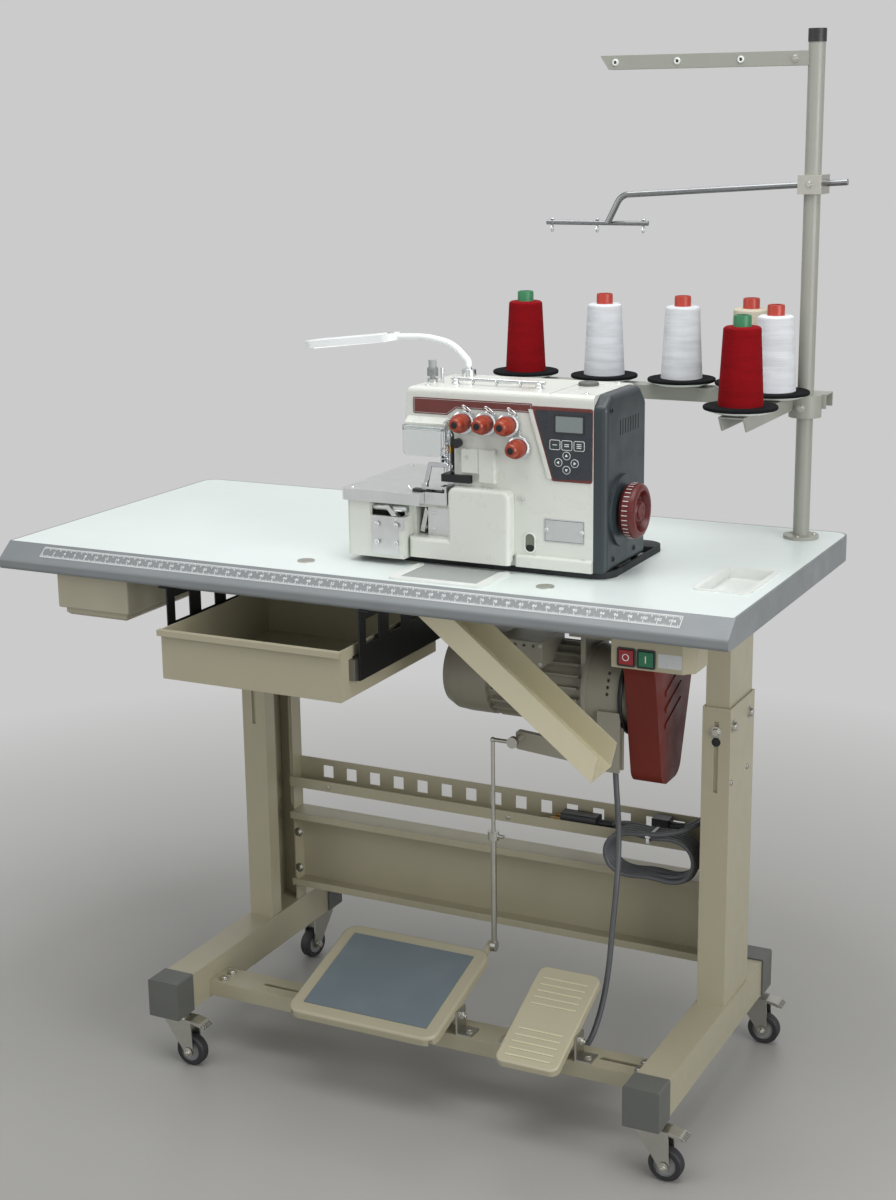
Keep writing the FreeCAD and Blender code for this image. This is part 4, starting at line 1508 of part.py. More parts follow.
def hank_route():
    """Loops of spare cord on the channel's front lip, each forward of the last, the low right corners apart."""
    loop = hank_loop()
    pitch = 2 * size_of("cord_radius") + 0.9
    first = size_of("post_front") + size_of("post_depth") - size_of("tube_wall") - size_of("channel_depth")
    first -= size_of("cord_radius") + 0.8
    points = []
    for step in range(int(size_of("hank_turns")) * len(loop)):
        turn, spot = divmod(step, len(loop))
        along_x, up = loop[spot]
        spread = size_of("hank_fan") * math.sin(2.4 * turn) * (along_x > 0 > up)
        points.append((size_of("hank_x") + along_x, first - pitch * step / len(loop),
                       size_of("hank_z") + up + spread))
    return points


def make_cords():
    """The pedal cable, the mains cord with its hank of loops, and the plug and connector on it."""
    cable_path = bent_path(points_of(cable_route()))
    keep(shaped("cable_tube", tube_along(cable_path, size_of("cable_radius"))), "pedal_cable")
    cord_path = bent_path(points_of(LEAD_IN + hank_route() + LEAD_OUT))
    for name, path in (("pedal cable", cable_path), ("mains cord", cord_path)):
        radii = [edge.Curve.Radius for edge in path.Edges if edge.Curve.TypeId == "Part::GeomCircle"]
        print("%s bends %s" % (name, " ".join("%.0f" % radius for radius in radii)))
    samples = cord_path.discretize(Distance=4)
    reach = int(60 / 4)
    gaps = [a.distanceToPoint(b) for i, a in enumerate(samples) for b in samples[i + reach:]]
    print("least gap of the cord to itself %.2f" % (min(gaps) - 2 * size_of("cord_radius")))
    keep(shaped("cord_tube", tube_along(cord_path, size_of("cord_radius"))), "power_cord")
    floor = "channel_bottom + channel_wall"
    plug = new_body("plug_body")
    pad(plug, "YZ", "200", "62", rect("78", floor, "106", floor + " + 26"))
    round_edges(plug, "6", along("x"))
    prongs = [bar("prong_%d" % i, "x", "182", y, "channel_bottom + 15", "2.4", "18") for i,
              y in enumerate(("83", "101"))]
    connector = box("connector", "356", "82", "channel_bottom + channel_wall", "28", "22", "40")
    keep(group("plug_set", plug, *prongs, connector), "power_plug")


def build():
    make_leg_frames()
    make_beam_end_caps()
    make_stretcher()
    make_cable_channel()
    make_foot_bar()
    for spot in caster_spots():
        make_caster(*spot)
    make_treadle()
    make_small_pedal()
    make_pull_rod()
    make_clutch_lever()
    make_table()
    make_table_inserts()
    make_inner_posts()
    make_drawer()
    make_plastic_drawer()
    make_switch_box()
    make_waste_chute()
    make_motor()
    make_belt_drive()
    make_machine_frame()
    make_head_covers()
    make_stitch_parts()
    make_hand_wheel()
    make_thread_path()
    make_lamp()
    make_thread_stand()
    make_thread_bars()
    make_cords()
    DOC.recompute()


def write_parts():
    """Check every object, then write one file for each sub-part."""
    for item in DOC.Objects:
        if "Invalid" in item.State or "Error" in item.State:
            raise ValueError("%s failed" % item.Name)
    for piece in PIECES:
        if piece.Shape.isNull() or not piece.Shape.isValid():
            raise ValueError("%s has no valid shape" % piece.Label)
    os.makedirs("parts", exist_ok=True)
    for piece in PIECES:
        piece.Shape.exportStep("parts/%s.step" % piece.Label)


build()
write_parts()
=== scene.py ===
"""Finishes, fittings and studio stage for an overlock sewing station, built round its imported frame.

X runs along the table to the operator's right, Y away from the operator and Z up. Shapes are drawn in
millimetres and become metres when they are finished; cords are drawn in metres.
"""

import json
import math

import bmesh
import bpy
from bpy.props import FloatProperty, FloatVectorProperty, IntProperty, PointerProperty
from mathutils import Matrix, Vector


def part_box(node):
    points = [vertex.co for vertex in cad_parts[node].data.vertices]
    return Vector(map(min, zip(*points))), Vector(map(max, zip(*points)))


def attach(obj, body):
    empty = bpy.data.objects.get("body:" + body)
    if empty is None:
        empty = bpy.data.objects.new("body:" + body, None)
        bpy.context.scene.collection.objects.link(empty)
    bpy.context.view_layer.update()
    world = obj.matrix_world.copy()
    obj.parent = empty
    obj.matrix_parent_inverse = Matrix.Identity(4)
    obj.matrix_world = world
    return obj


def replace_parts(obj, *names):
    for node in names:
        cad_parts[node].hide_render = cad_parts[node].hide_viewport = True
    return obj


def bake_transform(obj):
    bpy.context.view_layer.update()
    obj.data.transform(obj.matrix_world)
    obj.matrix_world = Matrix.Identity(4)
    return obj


bl_info = {
    "name": "Overlock Sewing Station",
    "version": (1, 0, 0),
    "blender": (4, 5, 0),
    "location": "View3D > Sidebar > Station",
    "description": "Finishes and fittings of an overlock sewing station",
    "category": "Add Mesh",
}

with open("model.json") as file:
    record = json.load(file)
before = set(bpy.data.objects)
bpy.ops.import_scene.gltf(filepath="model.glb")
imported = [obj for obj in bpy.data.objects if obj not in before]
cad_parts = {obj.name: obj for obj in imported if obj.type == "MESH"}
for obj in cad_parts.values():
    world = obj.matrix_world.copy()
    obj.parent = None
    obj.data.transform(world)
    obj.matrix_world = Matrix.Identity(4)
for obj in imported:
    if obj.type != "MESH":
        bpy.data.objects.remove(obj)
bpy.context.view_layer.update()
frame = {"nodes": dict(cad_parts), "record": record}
NODES = frame["nodes"]
MM = 0.001
X_AXIS = Vector((1, 0, 0))
Y_AXIS = Vector((0, 1, 0))
Z_AXIS = Vector((0, 0, 1))
LOW = {name: Vector(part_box(name)[0]) / MM for name in NODES}
HIGH = {name: Vector(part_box(name)[1]) / MM for name in NODES}
JOINTS = {joint["name"]: joint for joint in frame["record"]["behaviour"]["joints"]}
SPOTS = ("front_left", "front_right", "rear_left", "rear_right")


def pivot(joint):
    """A joint's place, in millimetres."""
    return Vector(JOINTS[joint]["pos_m"]) / MM


def tint(code):
    """Linear colour of a six-digit screen colour."""
    parts = [int(code[i:i + 2], 16) / 255 for i in (0, 2, 4)]
    return tuple(p / 12.92 if p <= 0.04045 else ((p + 0.055) / 1.055) ** 2.4 for p in parts)


def colour(name, description, code):
    return FloatVectorProperty(name=name, description=description, subtype="COLOR", size=3, min=0, max=1,
                               default=tint(code))


def length(name, description, metres):
    return FloatProperty(name=name, description=description, unit="LENGTH", precision=5, default=metres)


def count(name, description, number):
    return IntProperty(name=name, description=description, default=number, min=1)


class StationColours(bpy.types.PropertyGroup):
    stand: colour("Stand enamel", "Sprayed enamel of stand, drawer, chute and pedals", "aaa48c")
    cap: colour("End caps", "Moulded caps on the beams", "5c5e5a")
    laminate: colour("Laminate", "Face of the table board", "dfe8e5")
    edge: colour("Edge band", "Moulded band round the board", "7d8284")
    motor: colour("Motor enamel", "Sprayed enamel of the motor", "918d7f")
    guard: colour("Belt cover", "Moulded belt cover", "6a1705")
    head: colour("Head enamel", "Sprayed enamel of the machine head", "d6d9d1")
    slate: colour("End cover", "Moulded end cover of the head", "2c3539")
    panel: colour("Panel film", "Printed film of the control panel", "262b32")
    band: colour("Band", "Printed band on the arm and border of the panel", "652a24")
    knob: colour("Tension knobs", "Moulded tension knobs", "983a22")
    wheel: colour("Hand wheel", "Moulded hand wheel", "5a1312")
    pole: colour("Pole enamel", "Sprayed enamel of the thread stand", "999a91")
    mat: colour("Treadle mat", "Rubber mat on the treadle", "69757b")
    cream: colour("Drawer plastic", "Moulded case and small drawer", "b1ac97")
    red_yarn: colour("Red yarn", "Thread on two of the cones", "8a0711")
    white_yarn: colour("White yarn", "Thread on three of the cones", "e8ebef")
    cream_yarn: colour("Cream yarn", "Thread on one cone", "d6cdb9")
    cord: colour("Cord", "Sheath of the mains cord and of the pedal cable", "55575a")
    floor: colour("Floor", "Plain studio floor", "a5a4a0")
    backdrop: colour("Backdrop", "Plain background", "cbcbcb")


class StationSizes(bpy.types.PropertyGroup):
    camera_lens: FloatProperty(name="Lens", description="Focal length on a 36 mm frame", default=57.08,
                               unit="CAMERA")
    camera_azimuth: FloatProperty(name="Azimuth", description="Camera's turn round the station", subtype="ANGLE",
                                  default=math.radians(26.7295))
    camera_elevation: FloatProperty(name="Elevation", description="Camera's height above the horizon",
                                    subtype="ANGLE", default=math.radians(14.3162))
    camera_roll: FloatProperty(name="Roll", description="Camera's lean", subtype="ANGLE",
                               default=math.radians(-0.7652))
    camera_place: FloatVectorProperty(name="Camera", description="Where the camera stands", subtype="TRANSLATION",
                                      unit="LENGTH", default=(1.34818, -2.59588, 1.49589))
    cable: length("Pedal cable", "Diameter of the pedal cable", 0.009)
    lead: length("Mains cord", "Diameter of the mains cord", 0.008)
    hank_turns: count("Hank turns", "Loops of spare cord in the hank", 5)
    hank_pitch: length("Hank pitch", "Step from one loop of the hank to the next", 0.0089)
    hank_run: length("Hank run", "Straight part of a loop of the hank", 0.078)
    hank_bend: length("Hank bend", "Radius of a loop's ends", 0.036)
    ruler_pitch: length("Ruler pitch", "Step from one tick of the ruler to the next", 0.0025)
    ruler_tall: length("Ruler height", "Height of the ruler on the table's bevel", 0.02)
    wheel_marks: count("Wheel marks", "Ticks round the hand wheel", 36)
    knob_ribs: count("Knob ribs", "Ribs round a tension knob", 22)
    yarn_turns: count("Yarn turns", "Ridges up a cone of thread", 30)
    yarn_ridge: length("Yarn ridge", "Height of a ridge of thread", 0.0004)
    foam_radius: length("Foam disc", "Radius of the foam under a cone", 0.054)


def sizes():
    return bpy.context.scene.station_sizes


def colours():
    return bpy.context.scene.station_colours


class Wiring:
    """A node tree under construction."""

    prefix = ""

    def add(self, kind, inputs=None, **attributes):
        node = self.tree.nodes.new(self.prefix + kind)
        for name, value in attributes.items():
            setattr(node, name, value)
        for name, value in (inputs or {}).items():
            self.feed(node.inputs[name], value)
        return node

    def feed(self, socket, value):
        if isinstance(value, bpy.types.NodeSocket):
            self.tree.links.new(value, socket)
        else:
            socket.default_value = value


# Finishes


class Finish(Wiring):
    """A procedural material."""

    prefix = "ShaderNode"

    def __init__(self, name, base, roughness, metallic=0.0, **sockets):
        self.material = bpy.data.materials.new(name)
        self.material.use_nodes = True
        self.tree = self.material.node_tree
        self.shader = self.tree.nodes["Principled BSDF"]
        self.feed(self.shader.inputs["Base Color"], (*base, 1))
        self.feed(self.shader.inputs["Roughness"], roughness)
        self.feed(self.shader.inputs["Metallic"], metallic)
        for name, value in sockets.items():
            self.feed(self.shader.inputs[name.replace("_", " ").title().replace("Ior", "IOR")], value)
        self.place = self.add("TexCoord").outputs["Object"]

    def mapped(self, scale=(1, 1, 1), turn=(0, 0, 0)):
        """Object coordinates turned and stretched."""
        return self.add("Mapping", {"Vector": self.place, "Rotation": turn, "Scale": scale}).outputs["Vector"]

    def noise(self, scale, detail=3.0, vector=None):
        return self.add("TexNoise", {"Vector": vector or self.place, "Scale": scale, "Detail": detail}).outputs["Fac"]

    def cells(self, scale, feature="F1"):
        return self.add("TexVoronoi", {"Vector": self.place, "Scale": scale}, feature=feature).outputs["Distance"]

    def span(self, value, low, high, to_low=0.0, to_high=1.0):
        """One range of values turned into another."""
        return self.add("MapRange", {"Value": value, "From Min": low, "From Max": high, "To Min": to_low,
                                     "To Max": to_high}).outputs["Result"]

    def maths(self, operation, *values):
        node = self.add("Math", operation=operation)
        for socket, value in zip(node.inputs, values):
            self.feed(socket, value)
        return node.outputs["Value"]

    def mixed(self, factor, first, second, mode="MIX"):
        node = self.add("Mix", data_type="RGBA", blend_type=mode)
        for socket, value in zip((node.inputs[0], node.inputs[6], node.inputs[7]), (factor, first, second)):
            self.feed(socket, (*value, 1) if isinstance(value, tuple) and len(value) == 3 else value)
        return node.outputs[2]

    def edges(self, radius, low=0.02, high=0.25):
        """One on convex and concave edges, nought on flats."""
        node = self.add("VectorMath", operation="DOT_PRODUCT")
        self.feed(node.inputs[0], self.add("Bevel", {"Radius": radius}, samples=4).outputs["Normal"])
        self.feed(node.inputs[1], self.add("NewGeometry").outputs["Normal"])
        return self.span(self.maths("SUBTRACT", 1.0, node.outputs["Value"]), low, high)

    def base(self, value):
        self.feed(self.shader.inputs["Base Color"], value)
        return self

    def rough(self, value):
        self.feed(self.shader.inputs["Roughness"], value)
        return self

    def bump(self, height, strength, distance):
        """A bump on top of any earlier one."""
        normal = self.shader.inputs["Normal"]
        node = self.add("Bump", {"Height": height, "Strength": strength, "Distance": distance})
        if normal.is_linked:
            self.feed(node.inputs["Normal"], normal.links[0].from_socket)
        self.feed(normal, node.outputs["Normal"])
        return self

    def softened(self, radius):
        """Rounded look on hard edges, under any bump that follows."""
        self.feed(self.shader.inputs["Normal"], self.add("Bevel", {"Radius": radius}, samples=4).outputs["Normal"])
        return self


def scaled(rgb, factor):
    return tuple(min(1.0, c * factor) for c in rgb)


def enamel(name, rgb, roughness=0.38, peel=0.1, soil=0.93, wear=1.12):
    """Sprayed paint: cloudy tone, orange-peel skin, dust in broad patches and paler worn edges."""
    skin = Finish(name, rgb, roughness, coat_weight=0.15, coat_roughness=0.3)
    skin.softened(0.0008)
    cloud = skin.span(skin.noise(7, 5), 0.3, 0.72)
    tone = skin.mixed(cloud, scaled(rgb, 0.98), scaled(rgb, 1.02))
    dust = skin.span(skin.noise(3.1, 6), 0.5, 0.8)
    tone = skin.mixed(dust, tone, scaled(rgb, soil))
    rubbed = skin.maths("MULTIPLY", skin.edges(0.0015), skin.span(skin.noise(60, 4), 0.4, 0.6))
    skin.base(skin.mixed(rubbed, tone, scaled(rgb, wear)))
    skin.rough(skin.span(skin.noise(28, 4), 0.3, 0.7, roughness - 0.07, roughness + 0.09))
    return skin.bump(skin.noise(700, 2), peel, 0.0003).material


def moulded(name, rgb, roughness=0.45, grain=0.25, scale=1400):
    """Injection-moulded plastic with a fine spark-eroded grain and paler streaks of painted sheen."""
    skin = Finish(name, rgb, roughness)
    skin.softened(0.0006)
    cloud = skin.span(skin.noise(11, 4), 0.3, 0.7)
    tone = skin.mixed(cloud, scaled(rgb, 0.94), scaled(rgb, 1.04))
    # Paler streaks lighten only the colour: painted sheen.
    painted_sheen = skin.span(skin.noise(90, 5, skin.mapped((1, 1, 5))), 0.64, 0.74)
    skin.base(skin.mixed(skin.maths("MULTIPLY", painted_sheen, 0.25), tone, scaled(rgb, 1.22)))
    skin.rough(skin.span(skin.noise(22, 4), 0.3, 0.7, roughness - 0.1, roughness + 0.1))
    return skin.bump(skin.cells(scale), grain, 0.0002).material


def laminate(name, rgb):
    """Pressed melamine face: faint fibre speckle, fine pebble and wiped smears."""
    skin = Finish(name, rgb, 0.34, coat_weight=0.1, coat_roughness=0.2)
    speckle = skin.span(skin.noise(420, 2), 0.56, 0.7)
    tone = skin.mixed(skin.span(skin.noise(4, 4), 0.3, 0.7), scaled(rgb, 0.985), scaled(rgb, 1.01))
    skin.base(skin.mixed(skin.maths("MULTIPLY", speckle, 0.2), tone, scaled(rgb, 0.9)))
    smear = skin.noise(9, 5, skin.mapped((1, 4, 1), (0, 0, 0.5)))
    skin.rough(skin.span(smear, 0.3, 0.72, 0.29, 0.4))
    return skin.bump(skin.noise(1500, 2), 0.08, 0.0002).material


def metal(name, rgb, roughness, grain=(1, 1, 1), scratch=0.01, spots=0.0):
    """Bare or plated metal with drawn grain, soft tarnish and fine scratches."""
    skin = Finish(name, rgb, roughness, 1.0)
    skin.softened(0.0005)
    cloud = skin.span(skin.noise(35, 5), 0.3, 0.75)
    tone = skin.mixed(cloud, scaled(rgb, 0.95), scaled(rgb, 1.04))
    if spots:
        spangle = skin.span(skin.cells(160), 0.1, 0.6)
        tone = skin.mixed(skin.maths("MULTIPLY", spangle, spots), tone, scaled(rgb, 0.75))
    skin.base(tone)
    drawn = skin.noise(40, 2, skin.mapped(grain))
    skin.rough(skin.span(drawn, 0.3, 0.7, max(0.04, roughness - 0.02), roughness + 0.03))
    return skin.bump(drawn, scratch, 0.0001).material


def rubber(name, rgb, roughness=0.7, pebble=0.3, scale=900):
    """Vulcanised rubber: matt, pebbled, dusty in patches."""
    skin = Finish(name, rgb, roughness)
    skin.softened(0.0006)
    dust = skin.span(skin.noise(14, 6), 0.45, 0.8)
    skin.base(skin.mixed(dust, scaled(rgb, 0.92), tuple(0.8 * c + 0.02 for c in scaled(rgb, 1.2))))
    skin.rough(skin.span(skin.noise(30, 3), 0.3, 0.7, roughness - 0.1, roughness + 0.1))
    return skin.bump(skin.cells(scale), pebble, 0.0003).material


def foam(name, rgb):
    """Open-cell foam sheet: holes of two sizes, with painted shade in the finer ones."""
    skin = Finish(name, rgb, 0.95, specular_ior_level=0.1)
    # The finer holes are darkened: painted shade.
    pore_shade = skin.span(skin.cells(850), 0.15, 0.6)
    skin.base(skin.mixed(pore_shade, scaled(rgb, 0.45), rgb))
    return skin.bump(skin.cells(850), 0.8, 0.0008).bump(skin.noise(120, 4), 0.5, 0.001).material


def yarn(name, rgb):
    """Spun thread in fine turns, with painted shade in the grooves between turns and in broad bands where one winding
    lies over another.
    """
    skin = Finish(name, rgb, 0.85, specular_ior_level=0.15)
    height = skin.add("SeparateXYZ", {"Vector": skin.place}).outputs["Z"]
    turns = skin.maths("MULTIPLY_ADD", height, 1500, skin.maths("MULTIPLY", skin.noise(40, 3), 5))
    ridges_and_groove_shade = skin.maths("ABSOLUTE", skin.maths("SINE", skin.maths("MULTIPLY", turns, math.pi)))
    # Broad darker bands: painted shade where one winding lies over another.
    layer = skin.span(skin.noise(14, 4, skin.mapped((0.9, 0.9, 7))), 0.42, 0.68)
    # The grooves between turns are darkened as painted shade; the same ridges also drive the bump.
    tone = skin.mixed(skin.span(ridges_and_groove_shade, 0.0, 0.55), scaled(rgb, 0.72), rgb)
    skin.base(skin.mixed(skin.maths("MULTIPLY", layer, 0.7), tone, scaled(rgb, 0.74)))
    return skin.bump(ridges_and_groove_shade, 0.5, 0.0003).bump(skin.noise(2600, 2), 0.3, 0.0002).material


def film(name, rgb, roughness=0.3):
    """Printed film or lacquer: even tone with a fine matt tooth."""
    skin = Finish(name, rgb, roughness, coat_weight=0.2, coat_roughness=0.2)
    skin.base(skin.mixed(skin.span(skin.noise(40, 4), 0.3, 0.7), scaled(rgb, 0.95), scaled(rgb, 1.05)))
    skin.rough(skin.span(skin.noise(70, 4), 0.3, 0.7, roughness - 0.06, roughness + 0.1))
    return skin.bump(skin.noise(2200, 2), 0.1, 0.0001).material


def clear(name, rgb, roughness=0.12):
    """Clear moulded plastic with faint hazing and hairline scratches."""
    skin = Finish(name, rgb, roughness, transmission_weight=0.92, ior=1.49)
    haze = skin.noise(30, 5)
    skin.base(skin.mixed(skin.span(haze, 0.3, 0.7), scaled(rgb, 0.96), rgb))
    skin.rough(skin.span(haze, 0.3, 0.75, roughness - 0.06, roughness + 0.14))
    return skin.bump(skin.noise(400, 3, skin.mapped((1, 1, 8))), 0.03, 0.0001).material


def lit(name, rgb, strength):
    """A lit diffuser with the rows of its lamps just showing through."""
    skin = Finish(name, rgb, 0.4)
    rows = skin.span(skin.cells(70), 0.1, 0.75, 1.0, 0.86)
    warm = skin.mixed(rows, scaled(rgb, 0.92), rgb)
    skin.base(warm)
    skin.feed(skin.shader.inputs["Emission Color"], warm)
    skin.feed(skin.shader.inputs["Emission Strength"], strength)
    return skin.bump(skin.noise(900, 2), 0.1, 0.0002).material


FINISH = {}


def mix_finishes():
    """Every finish of the station, by its plain name."""
    c = colours()
    FINISH.update(
        stand=enamel("stand_enamel", tuple(c.stand)),
        # A paler copy of the stand enamel for the small pedal: painted light.
        tread=enamel("tread_enamel", scaled(tuple(c.stand), 1.2)),
        # A paler copy of the stand enamel for the waste chute under the table: painted light.
        chute=enamel("chute_enamel_painted_light", scaled(tuple(c.stand), 1.6)),
        # A still paler copy for the tops of the small pedal's raised ribs: a painted highlight.
        rib=enamel("rib_enamel", scaled(tuple(c.stand), 1.75), 0.34),
        cap=moulded("cap_plastic", tuple(c.cap), 0.5),
        laminate=laminate("board_laminate", tuple(c.laminate)),
        edge=moulded("edge_plastic", tuple(c.edge), 0.42, 0.15),
        zinc=metal("zinc_plate", tint("b9b8b0"), 0.32, spots=0.15),
        chrome=metal("chrome_plate", tint("d4d6d8"), 0.1, scratch=0.01),
        rod=metal("drawn_rod", tint("8e9091"), 0.22),
        steel=metal("polished_steel", tint("dadcdb"), 0.3, (1, 5, 5)),
        iron=metal("turned_iron", tint("83837f"), 0.38, (12, 1, 1)),
        black_iron=metal("blackened_iron", tint("3b3c3d"), 0.42),
        brass=metal("brass", tint("b48a4a"), 0.3),
        tyre=rubber("tyre_rubber", tint("26272a"), 0.62),
        mat=rubber("mat_rubber", tuple(c.mat), 0.55, 0.35, 1500),
        seal=rubber("seal_rubber", tint("202325"), 0.75),
        belt=rubber("belt_rubber", tint("2a2a2b"), 0.7),
        white=moulded("white_plastic", tint("e2e5e1"), 0.38, 0.1),
        grey=moulded("grey_plastic", tint("a2a6a4"), 0.45, 0.2),
        hub=moulded("hub_plastic", tint("8c8d8c"), 0.5, 0.2),
        black=moulded("black_plastic", tint("1f2022"), 0.42, 0.2),
        cream=moulded("cream_plastic", tuple(c.cream), 0.42, 0.18),
        switch=moulded("switch_plastic", tint("a69f87"), 0.4, 0.12),
        stop=moulded("stop_plastic", tint("8f1a20"), 0.35, 0.08),
        start=moulded("start_plastic", tint("176a45"), 0.35, 0.08),
        motor=enamel("motor_enamel", tuple(c.motor), 0.42, 0.2, 0.9),
        guard=moulded("guard_plastic", tuple(c.guard), 0.5, 0.15),
        head=enamel("head_enamel", tuple(c.head), 0.3, 0.07, 0.99, 1.0),
        slate=moulded("slate_plastic", tuple(c.slate), 0.4, 0.18),
        panel=film("panel_film", tuple(c.panel), 0.28),
        band=film("band_film", tuple(c.band), 0.35),
        print=film("white_print", tint("e9ebea"), 0.4),
        silver=film("silver_print", tint("b9bcbb"), 0.32),
        screen=film("screen_glass", tint("7d8786"), 0.16),
        sight=film("sight_glass", tint("6d7466"), 0.12),
        knob=moulded("knob_plastic", tuple(c.knob), 0.28, 0.08),
        wheel=moulded("wheel_plastic", tuple(c.wheel), 0.34, 0.12),
        clear=clear("clear_plastic", tint("eef3f2")),
        lamp=moulded("lamp_plastic", tint("f2f5f5"), 0.32, 0.08),
        lens=lit("lamp_lens", tint("fbfdff"), 1.4),
        pole=enamel("pole_enamel", tuple(c.pole), 0.36),
        foam=foam("disc_foam", tint("1c1d1f")),
        red_yarn=yarn("red_yarn", tuple(c.red_yarn)),
        white_yarn=yarn("white_yarn", tuple(c.white_yarn)),
        cream_yarn=yarn("cream_yarn", tuple(c.cream_yarn)),
        red_core=moulded("red_core", tint("b23a2a"), 0.35, 0.08),
        green_core=moulded("green_core", tint("2f7a4f"), 0.35, 0.08),
        cord=rubber("cord_sheath", tuple(c.cord), 0.5, 0.12, 2200),
        plug=moulded("plug_plastic", tint("2a2b2d"), 0.45, 0.2),
        tie=moulded("tie_plastic", tint("d8dad8"), 0.4, 0.1),
        # A near-black finish laid on tapped holes, vent slots, the knob tips and the oil window as painted shade.
        dark=rubber("painted_recess_shade", tint("141517"), 0.8),
    )


def coat(finish, *nodes):
    """One finish all over each of some CAD nodes."""
    for name in nodes:
        slots = NODES[name].data.materials
        slots.clear()
        slots.append(FINISH[finish])


def coat_parts(node, finish, *rules):
    """A finish for a CAD node, and others where a test of a face's middle and facing says so."""
    mesh = NODES[node].data
    mesh.materials.clear()
    for name in (finish, *[rule[0] for rule in rules]):
        mesh.materials.append(FINISH[name])
    for face in mesh.polygons:
        face.material_index = 0
        for index, (_, test) in enumerate(rules, start=1):
            if test(face.center / MM, face.normal):
                face.material_index = index


def beyond(axis, low, high=math.inf):
    """A test that a point lies between two places along an axis."""
    return lambda middle, facing: low <= middle[axis] <= high


def within(low, high):
    """A test that a point lies in a box."""
    return lambda middle, facing: all(low[k] <= middle[k] <= high[k] for k in range(3))


def near_axis(joint, radius):
    """A test that a point lies near a joint's axis."""
    axis = Vector(JOINTS[joint]["axis"])

    def test(middle, facing):
        ray = middle - pivot(joint)
        return (ray - axis * ray.dot(axis)).length < radius
    return test


# Shapes


def rounded(outline, radius, steps=5):
    """A closed outline with each corner turned into an arc."""
    points = []
    for i in range(len(outline)):
        corner = Vector(outline[i])
        back = Vector(outline[i - 1]) - corner
        ahead = Vector(outline[(i + 1) % len(outline)]) - corner
        half = back.angle(ahead) / 2
        reach = min(radius / math.tan(half), 0.48 * back.length, 0.48 * ahead.length)
        bend = reach * math.tan(half)
        back.normalize()
        ahead.normalize()
        centre = corner + (back + ahead).normalized() * (bend / math.sin(half))
        start = corner + back * reach - centre
        end = corner + ahead * reach - centre
        for k in range(steps + 1):
            points.append(centre + start.lerp(end, k / steps).normalized() * bend)
    return [tuple(point) for point in points]


def block(x, y, width, tall):
    """A rectangle round a middle."""
    return [(x - width / 2, y - tall / 2), (x + width / 2, y - tall / 2), (x + width / 2, y + tall / 2),
            (x - width / 2, y + tall / 2)]


def disc(x, y, radius, steps=28):
    return [(x + radius * math.cos(math.tau * i / steps), y + radius * math.sin(math.tau * i / steps))
            for i in range(steps)]


def inset(outline, by):
    """An anticlockwise outline moved inwards."""
    points = [Vector(point) for point in outline]
    moved = []
    for i, point in enumerate(points):
        back = (point - points[i - 1]).normalized()
        ahead = (points[(i + 1) % len(points)] - point).normalized()
        first = Vector((-back.y, back.x))
        second = Vector((-ahead.y, ahead.x))
        moved.append(tuple(point + (first + second) * (by / (1 + first.dot(second)))))
    return moved


def smooth(points, steps=6):
    """A soft line through points."""
    points = [Vector(point) for point in points]
    ends = [2 * points[0] - points[1], *points, 2 * points[-1] - points[-2]]
    line = []
    for a, b, c, d in zip(ends, ends[1:], ends[2:], ends[3:]):
        for k in range(steps):
            t = k / steps
            line.append(0.5 * (2 * b + (c - a) * t + (2 * a - 5 * b + 4 * c - d) * t ** 2
                               + (3 * b - a - 3 * c + d) * t ** 3))
    return [*line, points[-1]]


def basis(origin, across, up):
    """A frame whose X and Y span a face and whose Z points out of it."""
    across = Vector(across).normalized()
    up = Vector(up).normalized()
    matrix = Matrix((across, up, across.cross(up))).transposed().to_4x4()
    matrix.translation = Vector(origin)
    return matrix


def front(x, y, z):
    """A frame on a face that looks at the operator."""
    return basis((x, y, z), X_AXIS, Z_AXIS)


def right(x, y, z):
    """A frame on a face that looks to the operator's right."""
    return basis((x, y, z), Y_AXIS, Z_AXIS)


def upward(x, y, z):
    """A frame on a level face."""
    return basis((x, y, z), X_AXIS, Y_AXIS)


HEAD_FRONT = LOW["top_cover"].y
HEAD_TOP = HIGH["top_cover"].z
FACE = front(0, HEAD_FRONT, 0)
FILM = front(0, LOW["control_panel"].y, 0)


